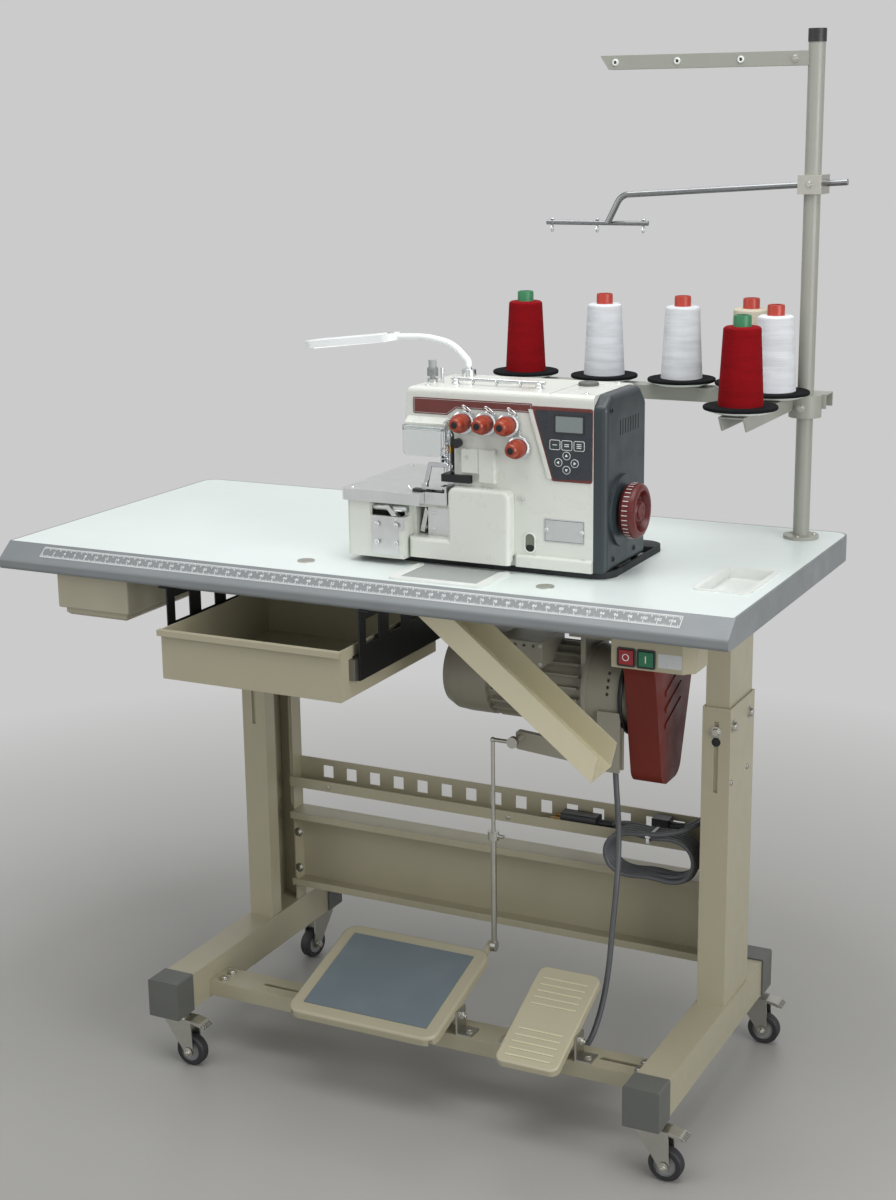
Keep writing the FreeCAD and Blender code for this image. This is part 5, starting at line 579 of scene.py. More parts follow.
class Shape:
    """A mesh put together from turned, extruded and bent forms, one finish at a time."""

    def __init__(self, name, finish):
        self.name = name
        self.mesh = bmesh.new()
        self.finishes = []
        self.use(finish)

    def use(self, finish):
        if finish not in self.finishes:
            self.finishes.append(finish)
        self.index = self.finishes.index(finish)
        return self

    def loft(self, rings, close_ends=True, ring_of_rings=False):
        """Faces between rings of points. A ring of one point is a pole."""
        rows = [[self.mesh.verts.new(point) for point in ring] for ring in rings]
        if ring_of_rings:
            rows.append(rows[0])
        made = []
        for low, high in zip(rows, rows[1:]):
            size = max(len(low), len(high))
            for i in range(size):
                j = (i + 1) % size
                corners = [low[i % len(low)], low[j % len(low)], high[j % len(high)], high[i % len(high)]]
                corners = [v for k, v in enumerate(corners) if v not in corners[:k]]
                if len(corners) > 2:
                    made.append(self.mesh.faces.new(corners))
        if close_ends and not ring_of_rings:
            for row in (rows[0], rows[-1]):
                if len(row) > 2:
                    made.append(self.mesh.faces.new(row))
        for face in made:
            face.material_index = self.index
        bmesh.ops.recalc_face_normals(self.mesh, faces=made)
        return self

    def turned(self, outline, matrix, steps=36, closed=False):
        """A revolve of (radius, along) points round a frame's Z. A radius may follow the angle."""
        rings = []
        for radius, along in outline:
            if not callable(radius) and radius < 1e-7:
                rings.append([matrix @ Vector((0, 0, along))])
                continue
            ring = []
            for i in range(steps):
                angle = math.tau * i / steps
                reach = radius(angle) if callable(radius) else radius
                ring.append(matrix @ Vector((reach * math.cos(angle), reach * math.sin(angle), along)))
            rings.append(ring)
        return self.loft(rings, ring_of_rings=closed)

    def plate(self, outline, matrix, low, high, edge=0.0):
        """An anticlockwise outline in a frame's XY, from one height to another, with its top edge broken."""
        levels = [(outline, low), (outline, high - edge)]
        if edge:
            levels.append((inset(outline, edge), high))
        return self.loft([[matrix @ Vector((*point, along)) for point in loop] for loop, along in levels])

    def rim(self, outline, width, matrix, low, high):
        """A frame of a given width inside an outline."""
        inner = inset(outline, width)
        levels = ((outline, low), (outline, high), (inner, high), (inner, low))
        return self.loft([[matrix @ Vector((*point, along)) for point in loop] for loop, along in levels],
                         ring_of_rings=True)

    def tube(self, points, radius, sides=10, closed=False):
        """A round bar along points, whose radius may change evenly to its end."""
        points = [Vector(point) for point in points]
        first, last = radius if isinstance(radius, tuple) else (radius, radius)
        size = len(points)
        rings = []
        normal = None
        for i, point in enumerate(points):
            if closed:
                ahead = points[(i + 1) % size] - points[i - 1]
            else:
                ahead = points[min(i + 1, size - 1)] - points[max(i - 1, 0)]
            ahead.normalize()
            if normal is None:
                normal = ahead.orthogonal().normalized()
            normal = (normal - ahead * normal.dot(ahead)).normalized()
            side = ahead.cross(normal)
            reach = first + (last - first) * i / max(1, size - 1)
            rings.append([point + (normal * math.cos(math.tau * k / sides) + side * math.sin(math.tau * k / sides))
                          * reach for k in range(sides)])
        return self.loft(rings, ring_of_rings=closed)

    def take(self, mesh, matrix=None):
        """Faces of a finished mesh, in the current finish."""
        before = len(self.mesh.faces)
        if matrix is not None:
            mesh.transform(matrix)
        self.mesh.from_mesh(mesh)
        self.mesh.faces.ensure_lookup_table()
        for face in self.mesh.faces[before:]:
            face.material_index = self.index
        bpy.data.meshes.remove(mesh)
        return self

    def data(self, scale=1.0):
        """The mesh so far, as new data."""
        data = bpy.data.meshes.new(self.name)
        self.mesh.to_mesh(data)
        self.mesh.free()
        data.transform(Matrix.Scale(scale, 4))
        return data

    def done(self, body, slot, sharp=35):
        """The finished piece, riding on a body."""
        data = self.data(MM)
        for finish in self.finishes:
            data.materials.append(FINISH[finish])
        data.shade_smooth()
        data.set_sharp_from_angle(angle=math.radians(sharp))
        return settle(bpy.data.objects.new(self.name, data), body)


def settle(piece, body):
    """Link a piece and let it ride on a body."""
    if piece.name not in bpy.context.scene.collection.objects:
        bpy.context.scene.collection.objects.link(piece)
    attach(piece, body)
    return piece


def frozen(piece):
    """The evaluated mesh of an object, as new data."""
    graph = bpy.context.evaluated_depsgraph_get()
    return bpy.data.meshes.new_from_object(piece.evaluated_get(graph), depsgraph=graph)


def drop(piece):
    data = piece.data
    bpy.data.objects.remove(piece)
    if isinstance(data, bpy.types.Curve):
        bpy.data.curves.remove(data)
    elif isinstance(data, bpy.types.Mesh) and not data.users:
        bpy.data.meshes.remove(data)


def spline(name, points, radius):
    """A smooth cord through a route's control points."""
    data = bpy.data.curves.new(name, "CURVE")
    data.dimensions = "3D"
    data.resolution_u = 10
    data.bevel_depth = radius
    data.bevel_resolution = 5
    data.use_fill_caps = True
    run = data.splines.new("NURBS")
    run.points.add(len(points) - 1)
    for knot, point in zip(run.points, points):
        knot.co = (*point, 1)
    run.order_u = 3
    run.use_endpoint_u = True
    piece = bpy.data.objects.new(name, data)
    bpy.context.scene.collection.objects.link(piece)
    return piece


def lettered(text, tall):
    """A plain number as a thin mesh, centred on its own middle."""
    data = bpy.data.curves.new("number", "FONT")
    data.body = text
    data.size = tall
    data.extrude = 0.1
    data.align_x = "CENTER"
    data.align_y = "CENTER"
    data.resolution_u = 3
    holder = bpy.data.objects.new("number", data)
    bpy.context.scene.collection.objects.link(holder)
    mesh = frozen(holder)
    drop(holder)
    return mesh


# Geometry Nodes


class Tree(Wiring):
    """A Geometry Nodes tree whose sizes are named inputs, in millimetres."""

    def __init__(self, name, **inputs):
        self.tree = bpy.data.node_groups.new(name, "GeometryNodeTree")
        sockets = self.tree.interface
        sockets.new_socket("Geometry", in_out="INPUT", socket_type="NodeSocketGeometry")
        self.keys = {}
        for label, kind in {**inputs, "Finish": "Material"}.items():
            socket = sockets.new_socket(label, in_out="INPUT", socket_type="NodeSocket" + kind)
            self.keys[label] = socket.identifier
        sockets.new_socket("Geometry", in_out="OUTPUT", socket_type="NodeSocketGeometry")
        self.given = self.tree.nodes.new("NodeGroupInput").outputs

    def maths(self, operation, *values):
        node = self.add("ShaderNodeMath", operation=operation)
        for socket, value in zip(node.inputs, values):
            self.feed(socket, value)
        return node.outputs["Value"]

    def vector(self, x, y, z):
        return self.add("ShaderNodeCombineXYZ", {"X": x, "Y": y, "Z": z}).outputs["Vector"]

    def named(self, name, kind):
        return self.add("GeometryNodeInputNamedAttribute", {"Name": name}, data_type=kind).outputs["Attribute"]

    def copies(self, points, instance, **inputs):
        """A shape on each of some points, as real mesh in the tree's finish."""
        made = self.add("GeometryNodeInstanceOnPoints", {"Points": points, "Instance": instance, **inputs})
        real = self.add("GeometryNodeRealizeInstances", {"Geometry": made.outputs["Instances"]})
        coated = self.add("GeometryNodeSetMaterial", {"Geometry": real.outputs["Geometry"],
                                                      "Material": self.given["Finish"]})
        self.tree.links.new(coated.outputs["Geometry"], self.tree.nodes.new("NodeGroupOutput").inputs[0])
        return self

    def grown(self, base, finish, **values):
        """The tree's result on a base mesh, as a plain mesh."""
        holder = bpy.data.objects.new("growth", base)
        bpy.context.scene.collection.objects.link(holder)
        modifier = holder.modifiers.new("growth", "NODES")
        modifier.node_group = self.tree
        for label, value in {**values, "Finish": FINISH[finish]}.items():
            modifier[self.keys[label]] = value
        mesh = frozen(holder)
        holder.modifiers.remove(modifier)
        drop(holder)
        return mesh


def points_mesh(points, **attributes):
    """Loose points, with an attribute for each further list."""
    mesh = bpy.data.meshes.new("points")
    mesh.from_pydata([tuple(point) for point in points], [], [])
    for name, values in attributes.items():
        vectors = isinstance(values[0], Vector)
        layer = mesh.attributes.new(name, "FLOAT_VECTOR" if vectors else "FLOAT", "POINT")
        layer.data.foreach_set("vector" if vectors else "value",
                               [part for value in values for part in (value if vectors else (value,))])
    return mesh


TREES = {}


def plant_trees():
    """The trees that make what repeats."""
    fixing = Tree("fixings", Head="Object")
    aligned = fixing.add("FunctionNodeAlignRotationToVector", {"Vector": fixing.named("out", "FLOAT_VECTOR")},
                         axis="Z")
    head = fixing.add("GeometryNodeObjectInfo", {"Object": fixing.given["Head"]})
    TREES["fixings"] = fixing.copies(fixing.given["Geometry"], head.outputs["Geometry"],
                                     Rotation=aligned.outputs["Rotation"], Scale=fixing.named("size", "FLOAT"))

    ticks = Tree("ruler_ticks", Count="Int", Pitch="Float", Width="Float", Thick="Float", Short="Float",
                 Middle="Float", Long="Float", Half="Int", Whole="Int")
    line = ticks.add("GeometryNodeMeshLine", {"Count": ticks.given["Count"],
                                              "Offset": ticks.vector(ticks.given["Pitch"], 0.0, 0.0)})
    index = ticks.add("GeometryNodeInputIndex").outputs["Index"]
    longer = ticks.given["Short"]
    for step, reach in (("Half", "Middle"), ("Whole", "Long")):
        hit = ticks.maths("COMPARE", ticks.maths("MODULO", index, ticks.given[step]), 0.0, 0.5)
        longer = ticks.maths("MULTIPLY_ADD", hit, ticks.maths("SUBTRACT", ticks.given[reach], longer), longer)
    stroke = ticks.add("GeometryNodeTransform", {"Geometry": ticks.add("GeometryNodeMeshCube").outputs["Mesh"],
                                                 "Translation": (0.0, 0.5, 0.5)})
    TREES["ticks"] = ticks.copies(line.outputs["Mesh"], stroke.outputs["Geometry"],
                                  Scale=ticks.vector(ticks.given["Width"], longer, ticks.given["Thick"]))

    ring = Tree("ring_of_bars", Count="Int", Radius="Float", Depth="Float", Width="Float", Length="Float")
    circle = ring.add("GeometryNodeMeshCircle", {"Vertices": ring.given["Count"], "Radius": ring.given["Radius"]})
    turn = ring.add("FunctionNodeAlignRotationToVector",
                    {"Vector": ring.add("GeometryNodeInputPosition").outputs["Position"]}, axis="X", pivot_axis="Z")
    bar = ring.add("GeometryNodeMeshCube", {"Size": ring.vector(ring.given["Depth"], ring.given["Width"],
                                                                ring.given["Length"])})
    TREES["ring"] = ring.copies(circle.outputs["Mesh"], bar.outputs["Mesh"], Rotation=turn.outputs["Rotation"])
    TREES["winding"] = winding_tree()


def winding_tree():
    """Thread wound both ways on a cone: turns that cross and a drawn-in shoulder."""
    wound = Tree("thread_winding", Foot="Float", Top="Float", Tall="Float", Shoulder="Float", Turns="Int",
                 Lean="Int", Ridge="Float")
    given = wound.given
    skin = wound.add("GeometryNodeMeshCylinder", {"Vertices": 72, "Side Segments": 150, "Radius": 1.0, "Depth": 1.0})
    place = wound.add("ShaderNodeSeparateXYZ",
                      {"Vector": wound.add("GeometryNodeInputPosition").outputs["Position"]}).outputs
    share = wound.maths("ADD", place["Z"], 0.5)
    turn = wound.maths("DIVIDE", wound.maths("ARCTAN2", place["Y"], place["X"]), math.tau)
    ridges = []
    for operation in ("ADD", "SUBTRACT"):
        phase = wound.maths(operation, wound.maths("MULTIPLY", share, given["Turns"]),
                            wound.maths("MULTIPLY", turn, given["Lean"]))
        ridges.append(wound.maths("ABSOLUTE", wound.maths("SINE", wound.maths("MULTIPLY", phase, math.pi))))
    ridge = wound.maths("MULTIPLY", wound.maths("MAXIMUM", *ridges), given["Ridge"])
    reach = wound.maths("MULTIPLY_ADD", share, wound.maths("SUBTRACT", given["Top"], given["Foot"]), given["Foot"])
    height = wound.maths("MULTIPLY", share, given["Tall"])
    left = wound.maths("SUBTRACT", given["Tall"], height)
    drawn = wound.maths("MAXIMUM", wound.maths("SUBTRACT", 1.0, wound.maths("DIVIDE", left, given["Shoulder"])), 0.0)
    reach = wound.maths("SUBTRACT", wound.maths("ADD", reach, ridge),
                        wound.maths("MULTIPLY", wound.maths("MULTIPLY", drawn, drawn), given["Shoulder"]))
    moved = wound.add("GeometryNodeSetPosition", {
        "Geometry": skin.outputs["Mesh"],
        "Position": wound.vector(wound.maths("MULTIPLY", place["X"], reach),
                                 wound.maths("MULTIPLY", place["Y"], reach), height)})
    return wound.copies(given["Geometry"], moved.outputs["Geometry"])


# Stage


class STATION_OT_stage(bpy.types.Operator):
    """Floor, background, soft lights and the camera"""
    bl_idname = "station.stage"
    bl_label = "Stage"

    def execute(self, context):
        self.floor()
        self.background(context.scene)
        for name, energy, size, place, aim in (
                ("top_softbox", 70, 2.6, (0.3, -0.5, 3.4), (0, 0, 0.8)),
                ("right_softbox", 68, 2.2, (3.5, -1.5, 1.6), (0.1, 0, 0.6)),
                ("front_softbox", 10, 2.0, (0.5, -3.4, 0.9), (0.1, 0, 0.5)),
                ("left_softbox", 26, 2.4, (-3.0, -2.8, 2.1), (0, 0, 0.7)),
                ("rear_softbox", 20, 2.0, (-0.6, 2.4, 3.9), (0, 0, 0.9))):
            self.softbox(name, energy, size, Vector(place), Vector(aim))
        self.camera(context.scene)
        context.scene.view_settings.view_transform = "Standard"
        return {"FINISHED"}

    def floor(self):
        """A wide pale disc that fades into the background and keeps the station's shadow."""
        skin = Finish("studio_floor", tuple(colours().floor), 0.42)
        skin.rough(skin.span(skin.noise(2.2, 5), 0.3, 0.7, 0.34, 0.5))
        tone = tuple(colours().floor)
        skin.base(skin.mixed(skin.span(skin.noise(1.3, 6), 0.3, 0.7), scaled(tone, 0.96), scaled(tone, 1.03)))
        glow = skin.add("Emission", {"Color": (*colours().backdrop, 1), "Strength": 1.0})
        reach = skin.add("VectorMath", operation="LENGTH")
        skin.feed(reach.inputs[0], skin.place)
        away = skin.span(reach.outputs["Value"], 0.8, 2.1)
        path = skin.add("LightPath")
        seen = skin.maths("MAXIMUM", path.outputs["Is Camera Ray"],
                          skin.maths("MAXIMUM", path.outputs["Is Glossy Ray"], path.outputs["Is Transmission Ray"]))
        blend = skin.add("MixShader", {"Fac": skin.maths("MULTIPLY", away, seen)})
        skin.feed(blend.inputs[1], skin.shader.outputs["BSDF"])
        skin.feed(blend.inputs[2], glow.outputs["Emission"])
        skin.feed(skin.tree.nodes["Material Output"].inputs["Surface"], blend.outputs["Shader"])
        mesh = bmesh.new()
        bmesh.ops.create_circle(mesh, cap_ends=True, radius=14, segments=96)
        data = bpy.data.meshes.new("floor")
        mesh.to_mesh(data)
        mesh.free()
        data.materials.append(skin.material)
        floor = bpy.data.objects.new("floor", data)
        bpy.context.scene.collection.objects.link(floor)

    def background(self, scene):
        world = bpy.data.worlds.new("studio")
        scene.world = world
        world.use_nodes = True
        tree = world.node_tree
        light = tree.nodes["Background"]
        light.inputs["Color"].default_value = (0.95, 0.97, 1.0, 1)
        light.inputs["Strength"].default_value = 0.26
        shown = tree.nodes.new("ShaderNodeBackground")
        shown.inputs["Color"].default_value = (*colours().backdrop, 1)
        path = tree.nodes.new("ShaderNodeLightPath")
        seen = path.outputs["Is Camera Ray"]
        for name in ("Is Glossy Ray", "Is Transmission Ray"):
            node = tree.nodes.new("ShaderNodeMath")
            node.operation = "MAXIMUM"
            tree.links.new(seen, node.inputs[0])
            tree.links.new(path.outputs[name], node.inputs[1])
            seen = node.outputs[0]
        blend = tree.nodes.new("ShaderNodeMixShader")
        tree.links.new(seen, blend.inputs["Fac"])
        tree.links.new(light.outputs[0], blend.inputs[1])
        tree.links.new(shown.outputs[0], blend.inputs[2])
        tree.links.new(blend.outputs[0], tree.nodes["World Output"].inputs["Surface"])

    def softbox(self, name, energy, size, place, aim):
        data = bpy.data.lights.new(name, "AREA")
        data.energy = energy
        data.size = size
        lamp = bpy.data.objects.new(name, data)
        lamp.location = place
        lamp.rotation_euler = (aim - place).to_track_quat("-Z", "Y").to_euler()
        bpy.context.scene.collection.objects.link(lamp)

    def camera(self, scene):
        s = sizes()
        data = bpy.data.cameras.new("camera")
        data.lens = s.camera_lens
        data.sensor_width = 36
        azimuth, elevation, roll = s.camera_azimuth, s.camera_elevation, s.camera_roll
        back = Vector((math.sin(azimuth) * math.cos(elevation), -math.cos(azimuth) * math.cos(elevation),
                       math.sin(elevation)))
        across = Vector((math.cos(azimuth), math.sin(azimuth), 0))
        up = back.cross(across)
        leaned = across * math.cos(roll) + up * math.sin(roll)
        camera = bpy.data.objects.new("camera", data)
        camera.matrix_world = basis(s.camera_place, leaned, back.cross(leaned))
        scene.collection.objects.link(camera)
        scene.camera = camera


# Fixings

RECESS_ARM = 0.62
RECESS_HALF = 0.14
SOCKET_HALF = 0.5


def cross_recess(angle):
    """Radius of a cross-shaped recess at an angle."""
    wide = max(abs(math.cos(angle)), abs(math.sin(angle)))
    narrow = min(abs(math.cos(angle)), abs(math.sin(angle)))
    return min(RECESS_ARM / wide, RECESS_HALF / max(narrow, 1e-6))


def hexagon(half):
    """Radius of a hexagon at an angle."""
    return lambda angle: half / math.cos(angle % (math.pi / 3) - math.pi / 6)


HEADS = {
    "screw": [(1.0, 0), (1.0, 0.18), (0.9, 0.38), (0.68, 0.46), (cross_recess, 0.47), (cross_recess, 0.2), (0, 0.2)],
    "socket": [(1.0, 0), (1.0, 0.85), (0.9, 1.0), (0.66, 1.0), (hexagon(SOCKET_HALF), 1.0),
               (hexagon(SOCKET_HALF), 0.45), (0, 0.4)],
    "bolt": [(1.35, 0), (1.35, 0.16), (1.0, 0.17), (hexagon(0.86), 0.18), (hexagon(0.86), 0.7), (0.8, 0.82),
             (0, 0.84)],
    "nut": [(1.4, 0), (1.4, 0.18), (hexagon(0.87), 0.2), (hexagon(0.87), 0.85), (0.82, 0.95), (0.52, 0.95),
            (0.52, 1.25), (0.44, 1.33), (0, 1.33)],
    # A tapped hole is a thin near-black disc: painted shade.
    "hole": [(1.0, 0), (1.0, 0.05), (0.9, 0.09), (0, 0.09)],
}
HEAD_STEPS = 24


class STATION_OT_fixings(bpy.types.Operator):
    """Screws, bolts, nuts and tapped holes of every body, the holes being near-black discs of painted shade"""
    bl_idname = "station.fixings"
    bl_label = "Fixings"

    def execute(self, context):
        self.rows = {}
        self.stand_rows()
        self.pedal_rows()
        self.table_rows()
        self.head_rows()
        self.stitch_rows()
        self.thread_rows()
        self.caster_rows()
        heads = {}
        for kind, outline in HEADS.items():
            shape = Shape("head_" + kind, "steel").turned(outline, Matrix(), HEAD_STEPS)
            heads[kind] = bpy.data.objects.new("head_" + kind, shape.data())
            context.scene.collection.objects.link(heads[kind])
        for body, kinds in self.rows.items():
            shape = Shape("fixings_" + body, "zinc")
            for (kind, finish), points in kinds.items():
                base = points_mesh([p[0] for p in points], out=[p[1] for p in points], size=[p[2] for p in points])
                shape.use(finish).take(TREES["fixings"].grown(base, finish, Head=heads[kind]))
            shape.done(body, "zinc")
        for holder in heads.values():
            drop(holder)
        return {"FINISHED"}

    def row(self, body, kind, finish, size, out, *places):
        """Like fixings of one size on a body, facing one way."""
        points = self.rows.setdefault(body, {}).setdefault((kind, finish), [])
        points.extend((Vector(place), Vector(out), float(size)) for place in places)

    def stand_rows(self):
        post_right, post_left = 509, -352
        for side, x in ((1, post_right), (-1, post_left)):
            self.row("stand", "bolt", "zinc", 7, (side, 0, 0), (x, 14, 604), (x, 92, 604))
            self.row("stand", "screw", "zinc", 4.5, (side, 0, 0), (x, 10, 516), (x, 86, 518))
        for x in (487, -330):
            # Tapped hole as a near-black disc of painted shade
            self.row("stand", "hole", "dark", 7, (0, -1, 0), (x, 0, 580))
            self.row("stand", "bolt", "zinc", 6.5, (0, -1, 0), (x, 0, 596))
        stretch = LOW["stretcher"].y
        for x in (-292, 448):
            self.row("stand", "bolt", "zinc", 6, (0, -1, 0), (x, stretch, 220), (x, stretch, 286))
        for x in (-230, 110, 430):
            self.row("stand", "screw", "zinc", 4, (0, -1, 0), (x, LOW["cable_channel"].y, 376))

    def pedal_rows(self):
        ear_wall = 3.2
        for name in ("treadle", "small_pedal"):
            hinge = pivot(name + "_tilt")
            for side, x in ((1, HIGH[name].x), (-1, LOW[name].x)):
                self.row("stand", "nut", "zinc", 6.5, (side, 0, 0), (x + side * ear_wall, hinge.y, hinge.z))
                self.row("stand", "bolt", "zinc", 5, (0, 0, 1), (x + side * 17, hinge.y, 124))
        for x in (-286, 444):
            self.row("stand", "bolt", "zinc", 6, (0, 0, 1), (x, -190, 121), (x, -166, 121))

    def table_rows(self):
        for x in (151, 220):
            self.row("table", "screw", "zinc", 3.6, (0, -1, 0), (x, -46, 682), (x, -46, 711))
        for x in (424, 527):
            self.row("table", "screw", "zinc", 3.2, (0, -1, 0), (x, LOW["switch_box"].y + 6, 800))
        for x in (100, 372):
            self.row("table", "screw", "zinc", 4.5, (0, -1, 0), (x, LOW["waste_chute"].y, 800))
        for x, y in ((84, -211), (216, -211)):
            self.row("table", "screw", "steel", 3, (0, 0, 1), (x, y, HIGH["table_top"].z + 1.4))

    def head_rows(self):
        face = 368
        self.row("table", "socket", "black_iron", 4, (1, 0, 0), (face - 2.6, -134, 1092), (face - 2.6, -42, 877),
                 (face - 2.6, -124, 877))
        self.row("table", "screw", "steel", 4.2, (0, 0, 1), (80, -134, HEAD_TOP), (330, -134, HEAD_TOP),
                 (80, -12, HEAD_TOP), (330, -12, HEAD_TOP))
        self.row("table", "screw", "steel", 3.4, (0, -1, 0), (276.5, HEAD_FRONT - 0.8, 917),
                 (331, HEAD_FRONT - 0.8, 917))
        self.row("table", "socket", "steel", 4, (0, -1, 0), (153, HEAD_FRONT, 1015), (238, HEAD_FRONT, 960),
                 (334, HEAD_FRONT, 875))
        self.row("table", "screw", "steel", 3.6, (0, -1, 0), (18, -185, 884), (50, -185, 884), (18, -185, 911),
                 (50, -185, 911))
        self.row("table", "screw", "steel", 2.6, (0, -1, 0), (93, -147, 902), (93, -147, 926), (117, -147, 902))
        self.row("table", "screw", "steel", 3.0, (0, 0, 1), (94, -98, 961), (116, -98, 961), (96, -158, 961))

    def stitch_rows(self):
        self.row("needle_bar", "socket", "black_iron", 2.0, (0, -1, 0), (104, -134.6, 1009), (104, -134.6, 1003))
        self.row("cloth_plate", "screw", "steel", 3.2, (0, 0, 1), (-30, -170, 961), (-30, 20, 961), (70, 20, 961))

    def thread_rows(self):
        pole_x, pole_y = 538, 238
        self.row("table", "bolt", "zinc", 5, (0, -1, 0), (pole_x, pole_y - 25, 1057), (pole_x, LOW["thread_bars"].y, 1388))
        self.row("table", "bolt", "zinc", 4.2, (0, -1, 0), (508, 229, 1569.5))
        for turn in range(3):
            angle = math.radians(30 + 120 * turn)
            self.row("table", "screw", "zinc", 3.6, (0, 0, 1),
                     (pole_x + 20 * math.cos(angle), pole_y + 20 * math.sin(angle), 855))

    def caster_rows(self):
        half_fork = 14.5
        for spot in SPOTS:
            axle = pivot("roll_" + spot)
            axis = Vector(JOINTS["roll_" + spot]["axis"])
            for side in (1, -1):
                self.row("caster_fork_" + spot, "nut", "zinc", 5.5, axis * side, axle + axis * side * half_fork)


# Table, switch box, motor and pedals

RULER_LEFT = -524
RULER_LONG = 1050
RULER_DROP = 26
BEVEL = Vector((0, -30, -24)).normalized()


HOLE_PLUGS = ((-91, -209), (302, -214))


class STATION_OT_ruler(bpy.types.Operator):
    """Printed ruler on the table's bevel"""
    bl_idname = "station.ruler"
    bl_label = "Ruler"

    def execute(self, context):
        s = sizes()
        pitch = s.ruler_pitch / MM
        tall = s.ruler_tall / MM
        edge = Vector((RULER_LEFT, LOW["edge_band"].y + 30, HIGH["table_top"].z))
        place = basis(edge + BEVEL * RULER_DROP, X_AXIS, -BEVEL)
        ruler = Shape("ruler_print", "print")
        ruler.rim(block(RULER_LONG / 2, tall / 2, RULER_LONG + 6, tall), 0.7, place, 0, 0.25)
        ticks = dict(Count=int(RULER_LONG / pitch) + 1, Pitch=pitch, Width=0.8, Thick=0.25, Short=3.2, Middle=4.6,
                     Long=6.4, Half=4, Whole=8)
        flipped = basis(place @ Vector((RULER_LONG, tall, 0)), -X_AXIS, BEVEL)
        for side in (place, flipped):
            ruler.take(TREES["ticks"].grown(points_mesh([(0, 0, 0)]), "print", **ticks), side)
        for number in range(2, int(RULER_LONG / 10) + 1, 2):
            ruler.take(lettered(str(number), 7), place @ Matrix.Translation((number * 10, tall / 2, 0.1)))
        ruler.done("table", "insert_grey")
        return {"FINISHED"}


class STATION_OT_switch(bpy.types.Operator):
    """Bezels, button marks and bare plate of the switch box"""
    bl_idname = "station.switch"
    bl_label = "Switch Box"

    def execute(self, context):
        face = front(0, LOW["switch_box"].y, 0)
        trim = Shape("switch_trim", "black")
        for name in ("stop_button", "start_button"):
            middle = (LOW[name] + HIGH[name]) / 2
            wide = HIGH[name].x - LOW[name].x
            trim.rim(rounded(block(middle.x, middle.z, wide + 6, wide + 6), 3), 2.2, face, -0.2, 1.6)
        trim.use("silver").plate(rounded(block(502, 773, 34, 20), 2), face, 0, 0.4, 0.15)
        trim.done("table", "switch_cream")
        stop = (LOW["stop_button"] + HIGH["stop_button"]) / 2
        start = (LOW["start_button"] + HIGH["start_button"]) / 2
        mark = Shape("stop_mark", "print")
        mark.rim(disc(0, 0, 5), 1.1, front(stop.x, LOW["stop_button"].y, stop.z), -0.1, 0.25)
        mark.done("stop_button", "stop_red")
        mark = Shape("start_mark", "print")
        mark.plate(block(0, 0, 1.3, 10), front(start.x, LOW["start_button"].y, start.z), -0.1, 0.25)
        mark.done("start_button", "start_green")
        return {"FINISHED"}


class STATION_OT_motor(bpy.types.Operator):
    """Vents as near-black slots of painted shade, rim and lead gland of the motor"""
    bl_idname = "station.motor"
    bl_label = "Motor"

    def execute(self, context):
        axis_y, axis_z = 42, 633
        end = basis((LOW["motor_body"].x, axis_y, axis_z), -Y_AXIS, Z_AXIS)
        trim = Shape("motor_trim", "dark")
        # Vent slots: thin near-black bars on the end, as painted shade.
        for radius, depth in ((20, 9), (36, 14)):
            trim.take(TREES["ring"].grown(points_mesh([(0, 0, 0)]), "dark", Count=12, Radius=radius, Depth=depth,
                                          Width=3.4, Length=0.8), end)
        rim = right(342, axis_y, axis_z)
        trim.use("black_iron").turned([(69, -3), (70.2, -2), (70.2, 2), (69, 3), (66, 3), (66, -3)], rim, 72, closed=True)
        gland = basis((186, -10, 676), X_AXIS, Y_AXIS)
        trim.use("black").turned([(8, 2), (8, -5), (hexagon(8.5), -5.5), (hexagon(8.5), -11), (5, -14), (0, -14)],
                                 gland, 24)
        trim.done("table", "motor_paint")
        return {"FINISHED"}


# Machine head


class STATION_OT_head_trim(bpy.types.Operator):
    """Printed band, panel border, bare plate and oil window on the head's front"""
    bl_idname = "station.head_trim"
    bl_label = "Head Trim"

    def execute(self, context):
        trim = Shape("head_trim", "band")
        band = rounded([(64, 1074), (119, 1074), (134, 1084.5), (254, 1084.5), (254, 1098), (64, 1098)], 2.5)
        trim.plate(band, FACE, 0, 0.7, 0.2)
        trim.use("silver").rim(inset(band, 1.6), 0.6, FACE, 0.6, 0.85)
        border = rounded([(285, 989), (346.5, 989), (347.4, 1095), (253, 1095), (251.5, 1079)], 4)
        trim.use("band").plate(border, FACE, 0, 1.4, 0.4)
        plate = rounded(block(303.8, 917, 63.5, 35), 2.5)
        trim.use("silver").plate(plate, FACE, 0, 0.8, 0.3)
        trim.use("slate").rim(inset(plate, 2), 0.5, FACE, 0.7, 0.95)
        window = rounded(block(250.3, 896, 18, 30), 9, 8)
        trim.use("white").rim(window, 1.8, FACE, 0, 1.6)
        trim.use("sight").plate(inset(window, 1.7), FACE, 0, 0.7)
        # Near-black patch behind the oil window's glass: painted shade.
        trim.use("dark").plate(rounded(block(250.3, 888, 12.6, 10), 4), FACE, 0.5, 0.8)
        trim.done("table", "cover_paint")
        return {"FINISHED"}


